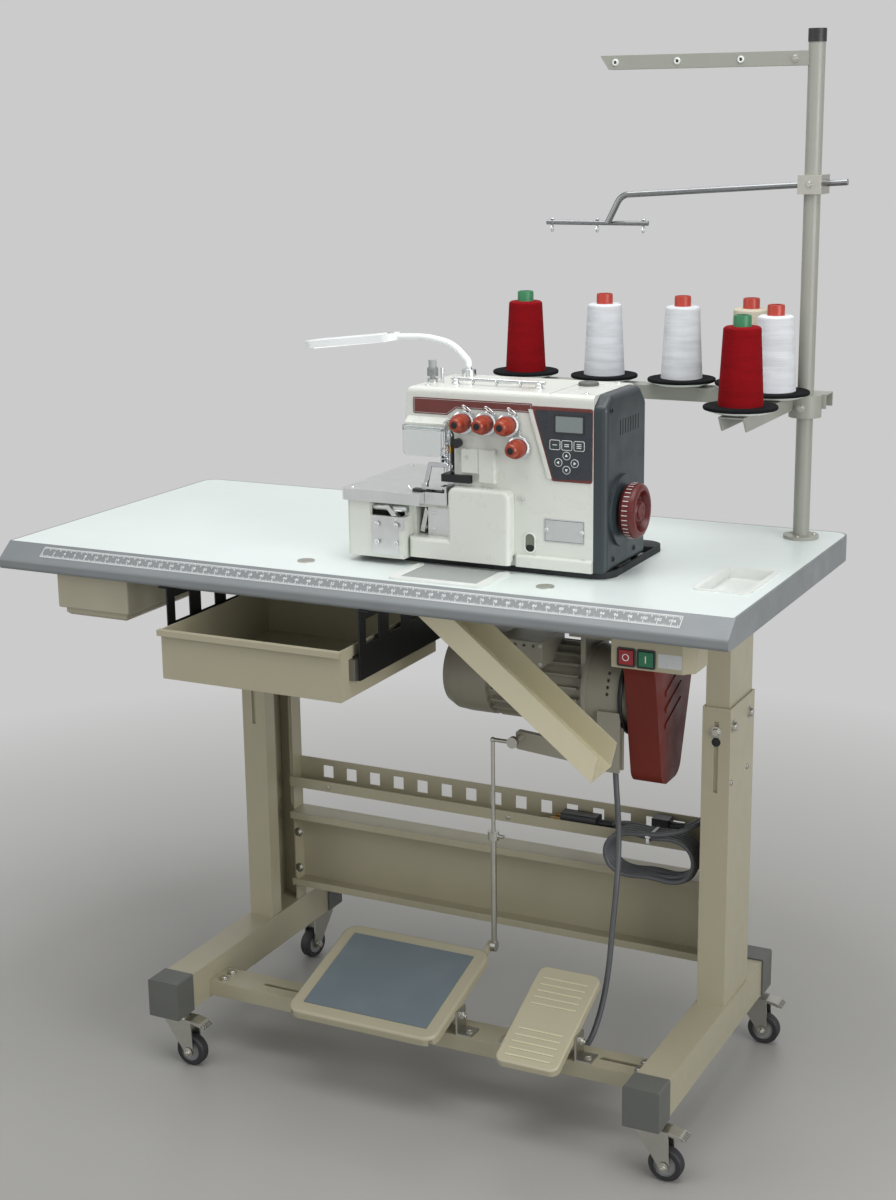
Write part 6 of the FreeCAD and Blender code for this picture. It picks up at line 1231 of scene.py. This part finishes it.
class STATION_OT_control_panel(bpy.types.Operator):
    """Screen, keys and plain marks of the control panel"""
    bl_idname = "station.control_panel"
    bl_label = "Control Panel"

    def execute(self, context):
        keys = Shape("panel_keys", "screen")
        keys.plate(rounded(block(312, 1071.5, 42, 23), 1.5), FILM, 0, 0.5, 0.2)
        keys.use("black").rim(rounded(block(312, 1071.5, 46, 27), 2), 2.2, FILM, 0, 0.8)
        for bars, x in ((1, 290.2), (2, 308.5), (3, 327.2)):
            outline = rounded(block(x, 1041.8, 16.4, 14.4), 2.5)
            keys.use("slate").plate(inset(outline, 1.1), FILM, 0, 0.8, 0.3)
            keys.use("print").rim(outline, 0.8, FILM, 0, 0.4)
            for bar in range(bars):
                keys.plate(block(x, 1041.8 + 2.6 * (bar - (bars - 1) / 2), 7, 1.1), FILM, 0.7, 0.95)
        for x, z, turn in ((308, 1027, 90), (295.5, 1016.8, 180), (320.5, 1016.8, 0), (308, 1006.6, 270)):
            outline = disc(x, z, 6)
            keys.use("slate").plate(inset(outline, 0.9), FILM, 0, 0.8, 0.3)
            keys.use("print").rim(outline, 0.7, FILM, 0, 0.4)
            tip = [math.radians(turn + step) for step in (0, 120, 240)]
            keys.plate([(x + 2.6 * math.cos(a), z + 2.6 * math.sin(a)) for a in tip], FILM, 0.7, 0.95)
        keys.done("table", "panel_navy")
        return {"FINISHED"}


class STATION_OT_tensions(bpy.types.Operator):
    """Discs, wire loops, ribs and tips of the four tension units"""
    bl_idname = "station.tensions"
    bl_label = "Tension Units"

    def execute(self, context):
        wire = [(12, 7, 2), (14.5, 13, 6), (11.5, 20, 11), (6, 25, 14), (2.4, 25.6, 14.6), (3.4, 22.4, 13.4),
                (8, 17.6, 9.6), (10.4, 11, 5), (9, 6, 2)]
        fixed = Shape("tension_fittings", "chrome")
        for number in range(1, 5):
            centre = pivot("tension_%d_turn" % number)
            place = front(centre.x, HEAD_FRONT, centre.z)
            fixed.turned([(4, 9.1), (16.6, 9.1), (17, 9.8), (11, 10.9), (4, 11.2)], place, 48, closed=True)
            if number < 4:
                fixed.tube([place @ point for point in smooth(wire)], 0.9, 8)
            tip = HEAD_FRONT - LOW["tension_knob_%d" % number].y
            # Near-black disc at the knob's tip: painted shade of its hole.
            knob = Shape("knob_trim_%d" % number, "dark")
            knob.turned([(5, tip - 0.4), (5, tip + 0.3), (4.4, tip + 0.5), (0, tip + 0.5)], place, 24)
            knob.use("knob").take(TREES["ring"].grown(
                points_mesh([(0, 0, 0)]), "knob", Count=sizes().knob_ribs, Radius=13.4, Depth=1.0, Width=1.3,
                Length=8.5), place @ Matrix.Translation((0, 0, 17.6)))
            knob.done("tension_knob_%d" % number, "knob_red")
        fixed.done("table", "bright_steel")
        return {"FINISHED"}


class STATION_OT_hand_wheel(bpy.types.Operator):
    """Ticks round the rim and cap of the hand wheel"""
    bl_idname = "station.hand_wheel"
    bl_label = "Hand Wheel"

    def execute(self, context):
        shaft = pivot("hand_wheel_turn")
        trim = Shape("wheel_trim", "print")
        trim.take(TREES["ring"].grown(points_mesh([(0, 0, 0)]), "print", Count=sizes().wheel_marks, Radius=40,
                                      Depth=0.5, Width=0.9, Length=8.5), right(387, shaft.y, shaft.z))
        cap = [(13, -0.6), (13, 1.2), (12.2, 2), (8.6, 2), (8, 1.3), (4, 1.3), (0, 1.3)]
        trim.use("wheel").turned(cap, right(397, shaft.y, shaft.z), 48)
        trim.done("hand_wheel", "wheel_red")
        return {"FINISHED"}


class STATION_OT_stitch_parts(bpy.types.Operator):
    """Loopers, springs, thread eyelets and take-up of the stitching place"""
    bl_idname = "station.stitch_parts"
    bl_label = "Stitch Parts"

    def execute(self, context):
        fixed = Shape("stitch_fittings", "chrome")
        fixed.tube(smooth([(74, -128, 900), (80, -132, 916), (92, -135, 930), (108, -136, 938)]), (3.2, 1.2), 10)
        fixed.tube(smooth([(126, -120, 898), (121, -128, 912), (112, -133, 920), (98, -134, 924)]), (2.8, 1.1), 10)
        fixed.tube(smooth([(128, -150, 1066), (124, -158, 1068), (118, -160, 1063), (116, -159, 1057)]), 1.1, 8)
        for z in (1000, 1046):
            fixed.tube([Vector((126 + 3.2 * math.cos(a), -156, z + 3.2 * math.sin(a)))
                        for a in [math.tau * k / 20 for k in range(20)]], 0.8, 8, closed=True)
            fixed.tube([(126, -150, z - 3.2), (126, -156, z - 3.2)], 0.8, 8)
        spring = [(118 + 3.6 * math.cos(a), -152 + 3.6 * math.sin(a), 1008 + 3.2 * a / math.tau)
                  for a in [math.tau * k / 14 for k in range(14 * 9 + 1)]]
        fixed.tube(spring, 0.8, 6)
        fixed.use("black_iron").plate(rounded(block(120, -120, 13, 15), 2), upward(0, 0, 0), 992, 1056, 1)
        self.looper_room(fixed)
        fixed.done("table", "bright_steel")
        self.presser()
        bar = Shape("needle_trim", "chrome")
        bar.turned([(5.6, 1016), (7.4, 1016.6), (7.4, 1020.4), (5.6, 1021), (4.6, 1021), (4.6, 1016)],
                   Matrix.Translation((104, -128, 0)), 32, closed=True)
        bar.done("needle_bar", "bright_steel")
        return {"FINISHED"}

    def looper_room(self, fixed):
        """Back plate, two cross shafts and the clamped arms that the opened looper cover shows."""
        fixed.use("iron").plate(rounded(block(178, 936, 83, 70), 3), front(0, -79.8, 0), 0, 2, 0.5)
        for left, y, z, radius in ((104, -116, 911, 6), (135.5, -106, 946, 4.5)):
            fixed.use("steel").tube([(left, y, z), (220.5, y, z)], radius, 24)
        for x, tip in ((152, 936), (184, 926)):
            arm = [(x - 9, 904), (x + 9, 904), (x + 9, 918), (x + 4, 926), (x + 2, tip + 6), (x - 5, tip + 6),
                   (x - 6, 920), (x - 9, 916)]
            fixed.use("black_iron").plate(rounded(arm, 2), front(0, -110, 0), 0, 13, 1)
            fixed.use("chrome").turned([(3.4, 0), (3.4, 2.4), (1.4, 2.4), (1.4, 1.2), (0, 1.2)],
                                       front(x + 4, -123, 909), 16)
            fixed.tube(smooth([(x - 2, -116, tip + 3), (x - 9, -122, tip + 9), (x - 20, -126, tip + 12)]),
                       (2.6, 1.2), 10)

    def presser(self):
        """Bent lever, block and blackened sole of the presser foot."""
        foot = Shape("presser_trim", "chrome")
        lever = [(84, 972), (91, 972), (97, 998), (124, 998), (124, 1005), (92, 1005)]
        foot.plate(rounded(lever, 2), front(0, -157, 0), 0, 3.5, 0.6)
        foot.plate(rounded(block(86.5, 968.6, 8, 10), 1), front(0, -156, 0), 0, 7, 0.6)
        foot.use("black_iron").plate(rounded(block(84, -160, 34, 13), 3), upward(0, 0, 0), 961.7, 964.4, 0.6)
        foot.use("chrome").tube(smooth([(68, -164, 963.6), (64.5, -166, 965), (62, -167, 969)]), 1.1, 8)
        foot.done("presser_foot", "bright_steel")


class STATION_OT_top_fittings(bpy.types.Operator):
    """Eyelets, collars, knurl and filler on the head's top, and the lamp's lens"""
    bl_idname = "station.top_fittings"
    bl_label = "Top Fittings"

    def execute(self, context):
        top = Shape("top_fittings", "chrome")
        for x in (112, 245):
            top.turned([(6.5, 0), (6.5, 2), (5, 3), (5, 7), (4, 8), (1.6, 8)], upward(x, -106, HEAD_TOP), 28)
        for x in (140, 178, 216):
            top.tube([(x, -106 + 4 * math.cos(a), 1118.6 + 4 * math.sin(a))
                      for a in [math.tau * k / 20 for k in range(20)]], 1.0, 8, closed=True)
        top.plate(rounded(block(0, 0, 34, 11), 5.4), upward(178, -72, HEAD_TOP), 0, 1.4, 0.4)
        top.use("grey").take(TREES["ring"].grown(points_mesh([(0, 0, 0)]), "grey", Count=30, Radius=7.8, Depth=0.8,
                                                 Width=0.7, Length=12), Matrix.Translation((70, -98, 1128)))
        top.use("cap").turned([(15, 0), (15, 3.5), (13.6, 5), (8, 5), (7, 4.2), (0, 4.2)],
                              upward(298, -48, HEAD_TOP), 40)
        top.done("table", "bright_steel")
        lamp = Shape("lamp_lens", "lens")
        under = basis((-110.5, -17, 1158.6), (160, 0, 19), -Y_AXIS)
        lamp.plate(rounded(block(2, 0, 138, 32), 11), under, 4.8, 6.2, 0.4)
        lamp.use("grey").turned([(5, 5.2), (5, 6.6), (4.2, 7.2), (0, 7.2)], basis(under @ Vector((68, 0, 0)), X_AXIS,
                                                                                Y_AXIS), 24)
        lamp.done("work_lamp", "lamp_white")
        return {"FINISHED"}


# Thread stand

CONES = {(57, 265): ("red_yarn", "green_core"), (196, 265): ("white_yarn", "red_core"),
         (328, 265): ("white_yarn", "red_core"), (440, 265): ("cream_yarn", "red_core"),
         (506, 178): ("white_yarn", "red_core"), (506, 18): ("red_yarn", "green_core")}
FOAM_LOW = 1081
FOAM_HIGH = 1086
YARN_TALL = 113


class STATION_OT_spools(bpy.types.Operator):
    """Dishes, foam discs, cores and wound thread of the six cones"""
    bl_idname = "station.spools"
    bl_label = "Spools"

    def execute(self, context):
        s = sizes()
        foot = LOW["spool_rests"].z
        reach = s.foam_radius / MM
        dishes = Shape("spool_dishes", "white")
        pads = Shape("foam_discs", "foam")
        cones = Shape("yarn_cones", "red_yarn")
        groups = {}
        for (x, y), (thread, core) in CONES.items():
            place = upward(x, y, 0)
            dishes.turned([(3.4, foot), (26, foot), (40, foot + 2), (49, FOAM_LOW - 1.6), (49.6, FOAM_LOW - 0.4),
                           (49, FOAM_LOW), (3.4, FOAM_LOW)], place, 56, closed=True)
            pads.turned([(3.6, FOAM_LOW), (reach - 0.8, FOAM_LOW), (reach, FOAM_LOW + 1.2), (reach, FOAM_HIGH - 1.2),
                         (reach - 1, FOAM_HIGH), (3.6, FOAM_HIGH)], place, 56, closed=True)
            cones.use(core).turned([(3.4, FOAM_HIGH), (30, FOAM_HIGH), (30, FOAM_HIGH + 0.6), (15, FOAM_HIGH + 4),
                                    (13, 1190), (13, 1212), (12.2, 1215), (9.6, 1215), (9.6, 1196), (3.4, 1190)],
                                   place, 40, closed=True)
            groups.setdefault(thread, []).append((x, y, FOAM_HIGH))
        for thread, points in groups.items():
            cones.use(thread).take(TREES["winding"].grown(
                points_mesh(points), thread, Foot=32.6, Top=26.6, Tall=YARN_TALL, Shoulder=3.5,
                Turns=s.yarn_turns, Lean=3, Ridge=s.yarn_ridge / MM))
        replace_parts(dishes.done("table", "insert_grey"), "spool_rests")
        pads.done("table", "foam_black")
        yarns = cones.done("table", "yarn", 60)
        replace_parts(yarns, "thread_cones")
        return {"FINISHED"}


class STATION_OT_thread_stand(bpy.types.Operator):
    """Eyelets of the thread stand's arm and cross bar"""
    bl_idname = "station.thread_stand"
    bl_label = "Thread Stand"

    def execute(self, context):
        rings = Shape("thread_eyelets", "white")
        for x in (225, 325, 425):
            eyelet = [(2.5, -0.6), (2.5, 1.4), (3.4, 2.1), (4.8, 1.6), (5.4, 0), (5.4, -0.6)]
            rings.turned(eyelet, front(x, 229, 1569.5), 24, closed=True)
        rings.use("chrome")
        for x in (104, 182, 260):
            rings.tube([(x, 266 + 5 * math.cos(a), 1316.4 + 5 * math.sin(a))
                        for a in [math.tau * k / 24 for k in range(24)]], 1.2, 8, closed=True)
            rings.turned([(1.6, 0), (3.4, 1), (3.4, 2.6), (0, 2.6)], upward(x, 266, 1330), 16)
        rings.done("table", "bright_steel")
        return {"FINISHED"}


# Cords, in metres

CABLE_ROUTE = [(0.318, 0.020, 0.538), (0.318, 0.020, 0.508), (0.325, 0.010, 0.468), (0.337, -0.010, 0.420),
               (0.344, -0.030, 0.370), (0.346, -0.046, 0.318), (0.345, -0.056, 0.268), (0.344, -0.062, 0.224),
               (0.342, -0.071, 0.184), (0.340, -0.086, 0.150), (0.337, -0.106, 0.122), (0.335, -0.128, 0.109),
               (0.335, -0.150, 0.109)]
LEAD_IN = [(0.262, 0.092, 0.383), (0.284, 0.092, 0.383), (0.306, 0.084, 0.394)]
LEAD_OUT = [(0.332, 0.021, 0.403), (0.364, 0.020, 0.406), (0.398, 0.022, 0.410), (0.432, 0.029, 0.420),
            (0.450, 0.046, 0.429), (0.452, 0.068, 0.431), (0.443, 0.084, 0.424), (0.426, 0.092, 0.410),
            (0.406, 0.093, 0.398), (0.384, 0.093, 0.398)]
HANK_MIDDLE = (0.373, 0.0672, 0.366)
HANK_WAIST = 0.031
HANK_SPREAD = 0.005


def hank_route():
    """Long loops of spare cord over the channel's front lip, each set forward of the last."""
    s = sizes()
    ends = {}
    for way in (1, -1):
        ends[way] = [(way * (s.hank_run / 2 + s.hank_bend * math.cos(math.radians(a))),
                      way * s.hank_bend * math.sin(math.radians(a))) for a in (90, 45, 0, -45, -90)]
    loop = ends[-1][-1:] + [(0, HANK_WAIST)] + ends[1] + [(0, -HANK_WAIST)] + ends[-1][:-1]
    points = []
    for step in range(s.hank_turns * len(loop)):
        turn, spot = divmod(step, len(loop))
        along, up = loop[spot]
        spread = HANK_SPREAD * math.sin(2.4 * turn) if along > 0 > up else 0
        points.append((HANK_MIDDLE[0] + along, HANK_MIDDLE[1] - s.hank_pitch * step / len(loop),
                       HANK_MIDDLE[2] + up + spread))
    return points


def curve_points(piece):
    """Points along a curve object, read from its own smooth line."""
    bevel = piece.data.bevel_depth
    piece.data.bevel_depth = 0
    line = frozen(piece)
    piece.data.bevel_depth = bevel
    points = [vertex.co.copy() for vertex in line.vertices]
    bpy.data.meshes.remove(line)
    return points


class STATION_OT_cords(bpy.types.Operator):
    """Pedal cable, mains cord with its hank, strain reliefs and tie"""
    bl_idname = "station.cords"
    bl_label = "Cords"

    def execute(self, context):
        self.pedal_cable()
        self.mains_cord()
        return {"FINISHED"}

    def pedal_cable(self):
        radius = sizes().cable / 2
        curve = spline("cable_line", CABLE_ROUTE, radius)
        points = curve_points(curve)
        data = frozen(curve)
        drop(curve)
        data.name = "cable_sheath"
        data.materials.clear()
        data.materials.append(FINISH["cord"])
        data.shade_smooth()
        cable = bpy.data.objects.new("cable_sheath", data)
        bpy.context.scene.collection.objects.link(cable)
        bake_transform(cable)
        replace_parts(cable, "pedal_cable")

    def mains_cord(self):
        s = sizes()
        cord = spline("mains_cord", LEAD_IN + hank_route() + LEAD_OUT, s.lead / 2)
        points = curve_points(cord)
        cord.data.materials.append(FINISH["cord"])
        settle(cord, "stand")
        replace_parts(cord, "power_cord")
        self.reliefs(points)
        self.tie()

    def reliefs(self, points):
        """Ribbed, tapered sleeves where the cord leaves the plug and the connector."""
        sleeves = Shape("cord_reliefs", "plug")
        for line in (points, points[::-1]):
            along = []
            run = 0.0
            for a, b in zip(line, line[1:]):
                along.append(a / MM)
                run += (b - a).length / MM
                if run > 26:
                    break
            size = len(along)
            for i in range(size - 1):
                thick = 7.4 - 2.6 * i / size
                sleeves.tube([along[i].lerp(along[i + 1], 0.1), along[i].lerp(along[i + 1], 0.85)], thick, 20)
            sleeves.tube(along, (6.6, 4.4), 20)
        return sleeves.done("stand", "plug_black")

    def tie(self):
        """A flat tie round the top run of the hank."""
        band = rounded(block(44.6, 397, 54.6, 12.6), 5.5)
        tie = Shape("hank_tie", "tie")
        tie.rim(band, 0.6, basis((371, 0, 0), Y_AXIS, Z_AXIS), 0, 4.5)
        tie.plate(rounded(block(20, 403.6, 7, 4), 1), basis((370, 0, 0), Y_AXIS, Z_AXIS), 0, 6.5)
        return tie.done("stand", "cord_grey")


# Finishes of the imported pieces


def raised_ribs(node):
    """A test for the tops of the raised ribs on a sloping pedal, which get a painted highlight: the highest of its
    upward faces.
    """
    faces = [face for face in NODES[node].data.polygons if face.normal.z > 0.8]
    facing = max(faces, key=lambda face: face.area).normal.copy()
    crest = max(face.center.dot(facing) for face in faces if face.normal.dot(facing) > 0.999)
    return lambda middle, normal: normal.dot(facing) > 0.98 and middle.dot(facing) * MM > crest - 0.0004


class STATION_OT_finishes(bpy.types.Operator):
    """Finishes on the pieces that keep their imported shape"""
    bl_idname = "station.finishes"
    bl_label = "Finishes"

    def execute(self, context):
        coat("stand", "leg_frames", "inner_posts", "stretcher", "cable_channel", "treadle")
        # The waste chute's paler enamel is painted light.
        coat("chute", "waste_chute")
        coat("zinc", "rod_lower", "rod_upper")
        coat("black_iron", "drawer_rails")
        coat("cap", "beam_end_caps")
        coat("laminate", "table_top")
        coat("edge", "edge_band")
        coat("mat", "treadle_mat")
        coat("motor", "clutch_lever", "motor_body")
        coat("iron", "motor_pulley")
        coat("belt", "drive_belt")
        coat("guard", "belt_cover")
        coat("cream", "box_case", "box_drawer")
        coat("switch", "switch_box")
        coat("stop", "stop_button")
        coat("start", "start_button")
        coat("head", "machine_frame", "top_cover", "looper_cover")
        coat("slate", "end_cover")
        coat("panel", "control_panel")
        coat("steel", "cloth_plate")
        coat("chrome", "presser_foot", "needle_bar")
        coat("clear", "needle_guard")
        coat("white", "spool_rests")
        coat("white_yarn", "thread_cones")
        self.mixed_parts()
        self.casters()
        return {"FINISHED"}

    def mixed_parts(self):
        """Pieces whose faces are of several finishes."""
        table_top = HIGH["table_top"].z
        coat_parts("drawer", "stand", ("iron", beyond(0, -400, -274.6)), ("iron", beyond(0, 38.6)))
        coat_parts("foot_bar", "stand", ("zinc", beyond(2, 121.2)))
        # The small pedal's paler enamel and the paler tops of its raised ribs are painted light.
        coat_parts("small_pedal", "tread", ("rib", raised_ribs("small_pedal")))
        coat_parts("needle_plate", "steel", ("black_iron", within((111, -200, 976), (160, -100, 989))))
        coat_parts("thread_guides", "chrome", ("brass", within((100, -160, 1017), (125, -120, 1029))),
                   ("black", within((126, -200, 1027), (146, -100, 1042))),
                   ("grey", within((60, -108, 1115), (79, -88, 1150))))
        coat_parts("hand_wheel", "wheel", ("iron", beyond(0, 0, 375.9)))
        coat_parts("work_lamp", "lamp", ("chrome", within((70, -40, 1100), (110, 10, 1126))))
        coat_parts("thread_pole", "pole", ("black", beyond(2, 1592)))
        coat_parts("thread_bars", "rod", ("pole", beyond(2, 1552)),
                   ("zinc", within((515, 200, 1370), (560, 280, 1405))))
        coat_parts("spool_arms", "pole", ("zinc", beyond(2, 1074.2)))
        coat_parts("power_plug", "plug", ("brass", within((170, 60, 360), (199.9, 120, 420))))
        coat_parts("table_inserts", "white", ("seal", within((-60, -150, 800), (380, 90, 870))),
                   ("grey", within((90, -250, table_top - 10), (210, -165, table_top + 5))),
                   *(("zinc", within((x - 14, y - 14, table_top - 1), (x + 14, y + 14, table_top + 5)))
                     for x, y in HOLE_PLUGS))
        for number in range(1, 5):
            coat("knob", "tension_knob_%d" % number)

    def casters(self):
        hub = 17.2
        for spot in SPOTS:
            coat("zinc", "caster_fork_" + spot)
            coat_parts("caster_wheel_" + spot, "tyre", ("hub", near_axis("roll_" + spot, hub)))


class STATION_PT_panel(bpy.types.Panel):
    """Lists the station's pieces"""
    bl_idname = "STATION_PT_panel"
    bl_label = "Overlock Station"
    bl_space_type = "VIEW_3D"
    bl_region_type = "UI"
    bl_category = "Station"

    def draw(self, context):
        for operator in OPERATORS:
            self.layout.operator(operator.bl_idname)
        for group in (context.scene.station_sizes, context.scene.station_colours):
            for name in group.__annotations__:
                self.layout.prop(group, name)


OPERATORS = (STATION_OT_stage, STATION_OT_finishes, STATION_OT_fixings, STATION_OT_ruler, STATION_OT_switch,
             STATION_OT_motor, STATION_OT_head_trim, STATION_OT_control_panel, STATION_OT_tensions,
             STATION_OT_hand_wheel, STATION_OT_stitch_parts, STATION_OT_top_fittings, STATION_OT_spools,
             STATION_OT_thread_stand, STATION_OT_cords)
CLASSES = (StationColours, StationSizes, *OPERATORS, STATION_PT_panel)


def register():
    for item in CLASSES:
        bpy.utils.register_class(item)
    bpy.types.Scene.station_colours = PointerProperty(type=StationColours)
    bpy.types.Scene.station_sizes = PointerProperty(type=StationSizes)


def unregister():
    del bpy.types.Scene.station_sizes
    del bpy.types.Scene.station_colours
    for item in reversed(CLASSES):
        bpy.utils.unregister_class(item)


def main():
    register()
    mix_finishes()
    plant_trees()
    for operator in OPERATORS:
        group, name = operator.bl_idname.split(".")
        getattr(getattr(bpy.ops, group), name)()


if __name__ == "__main__":
    main()
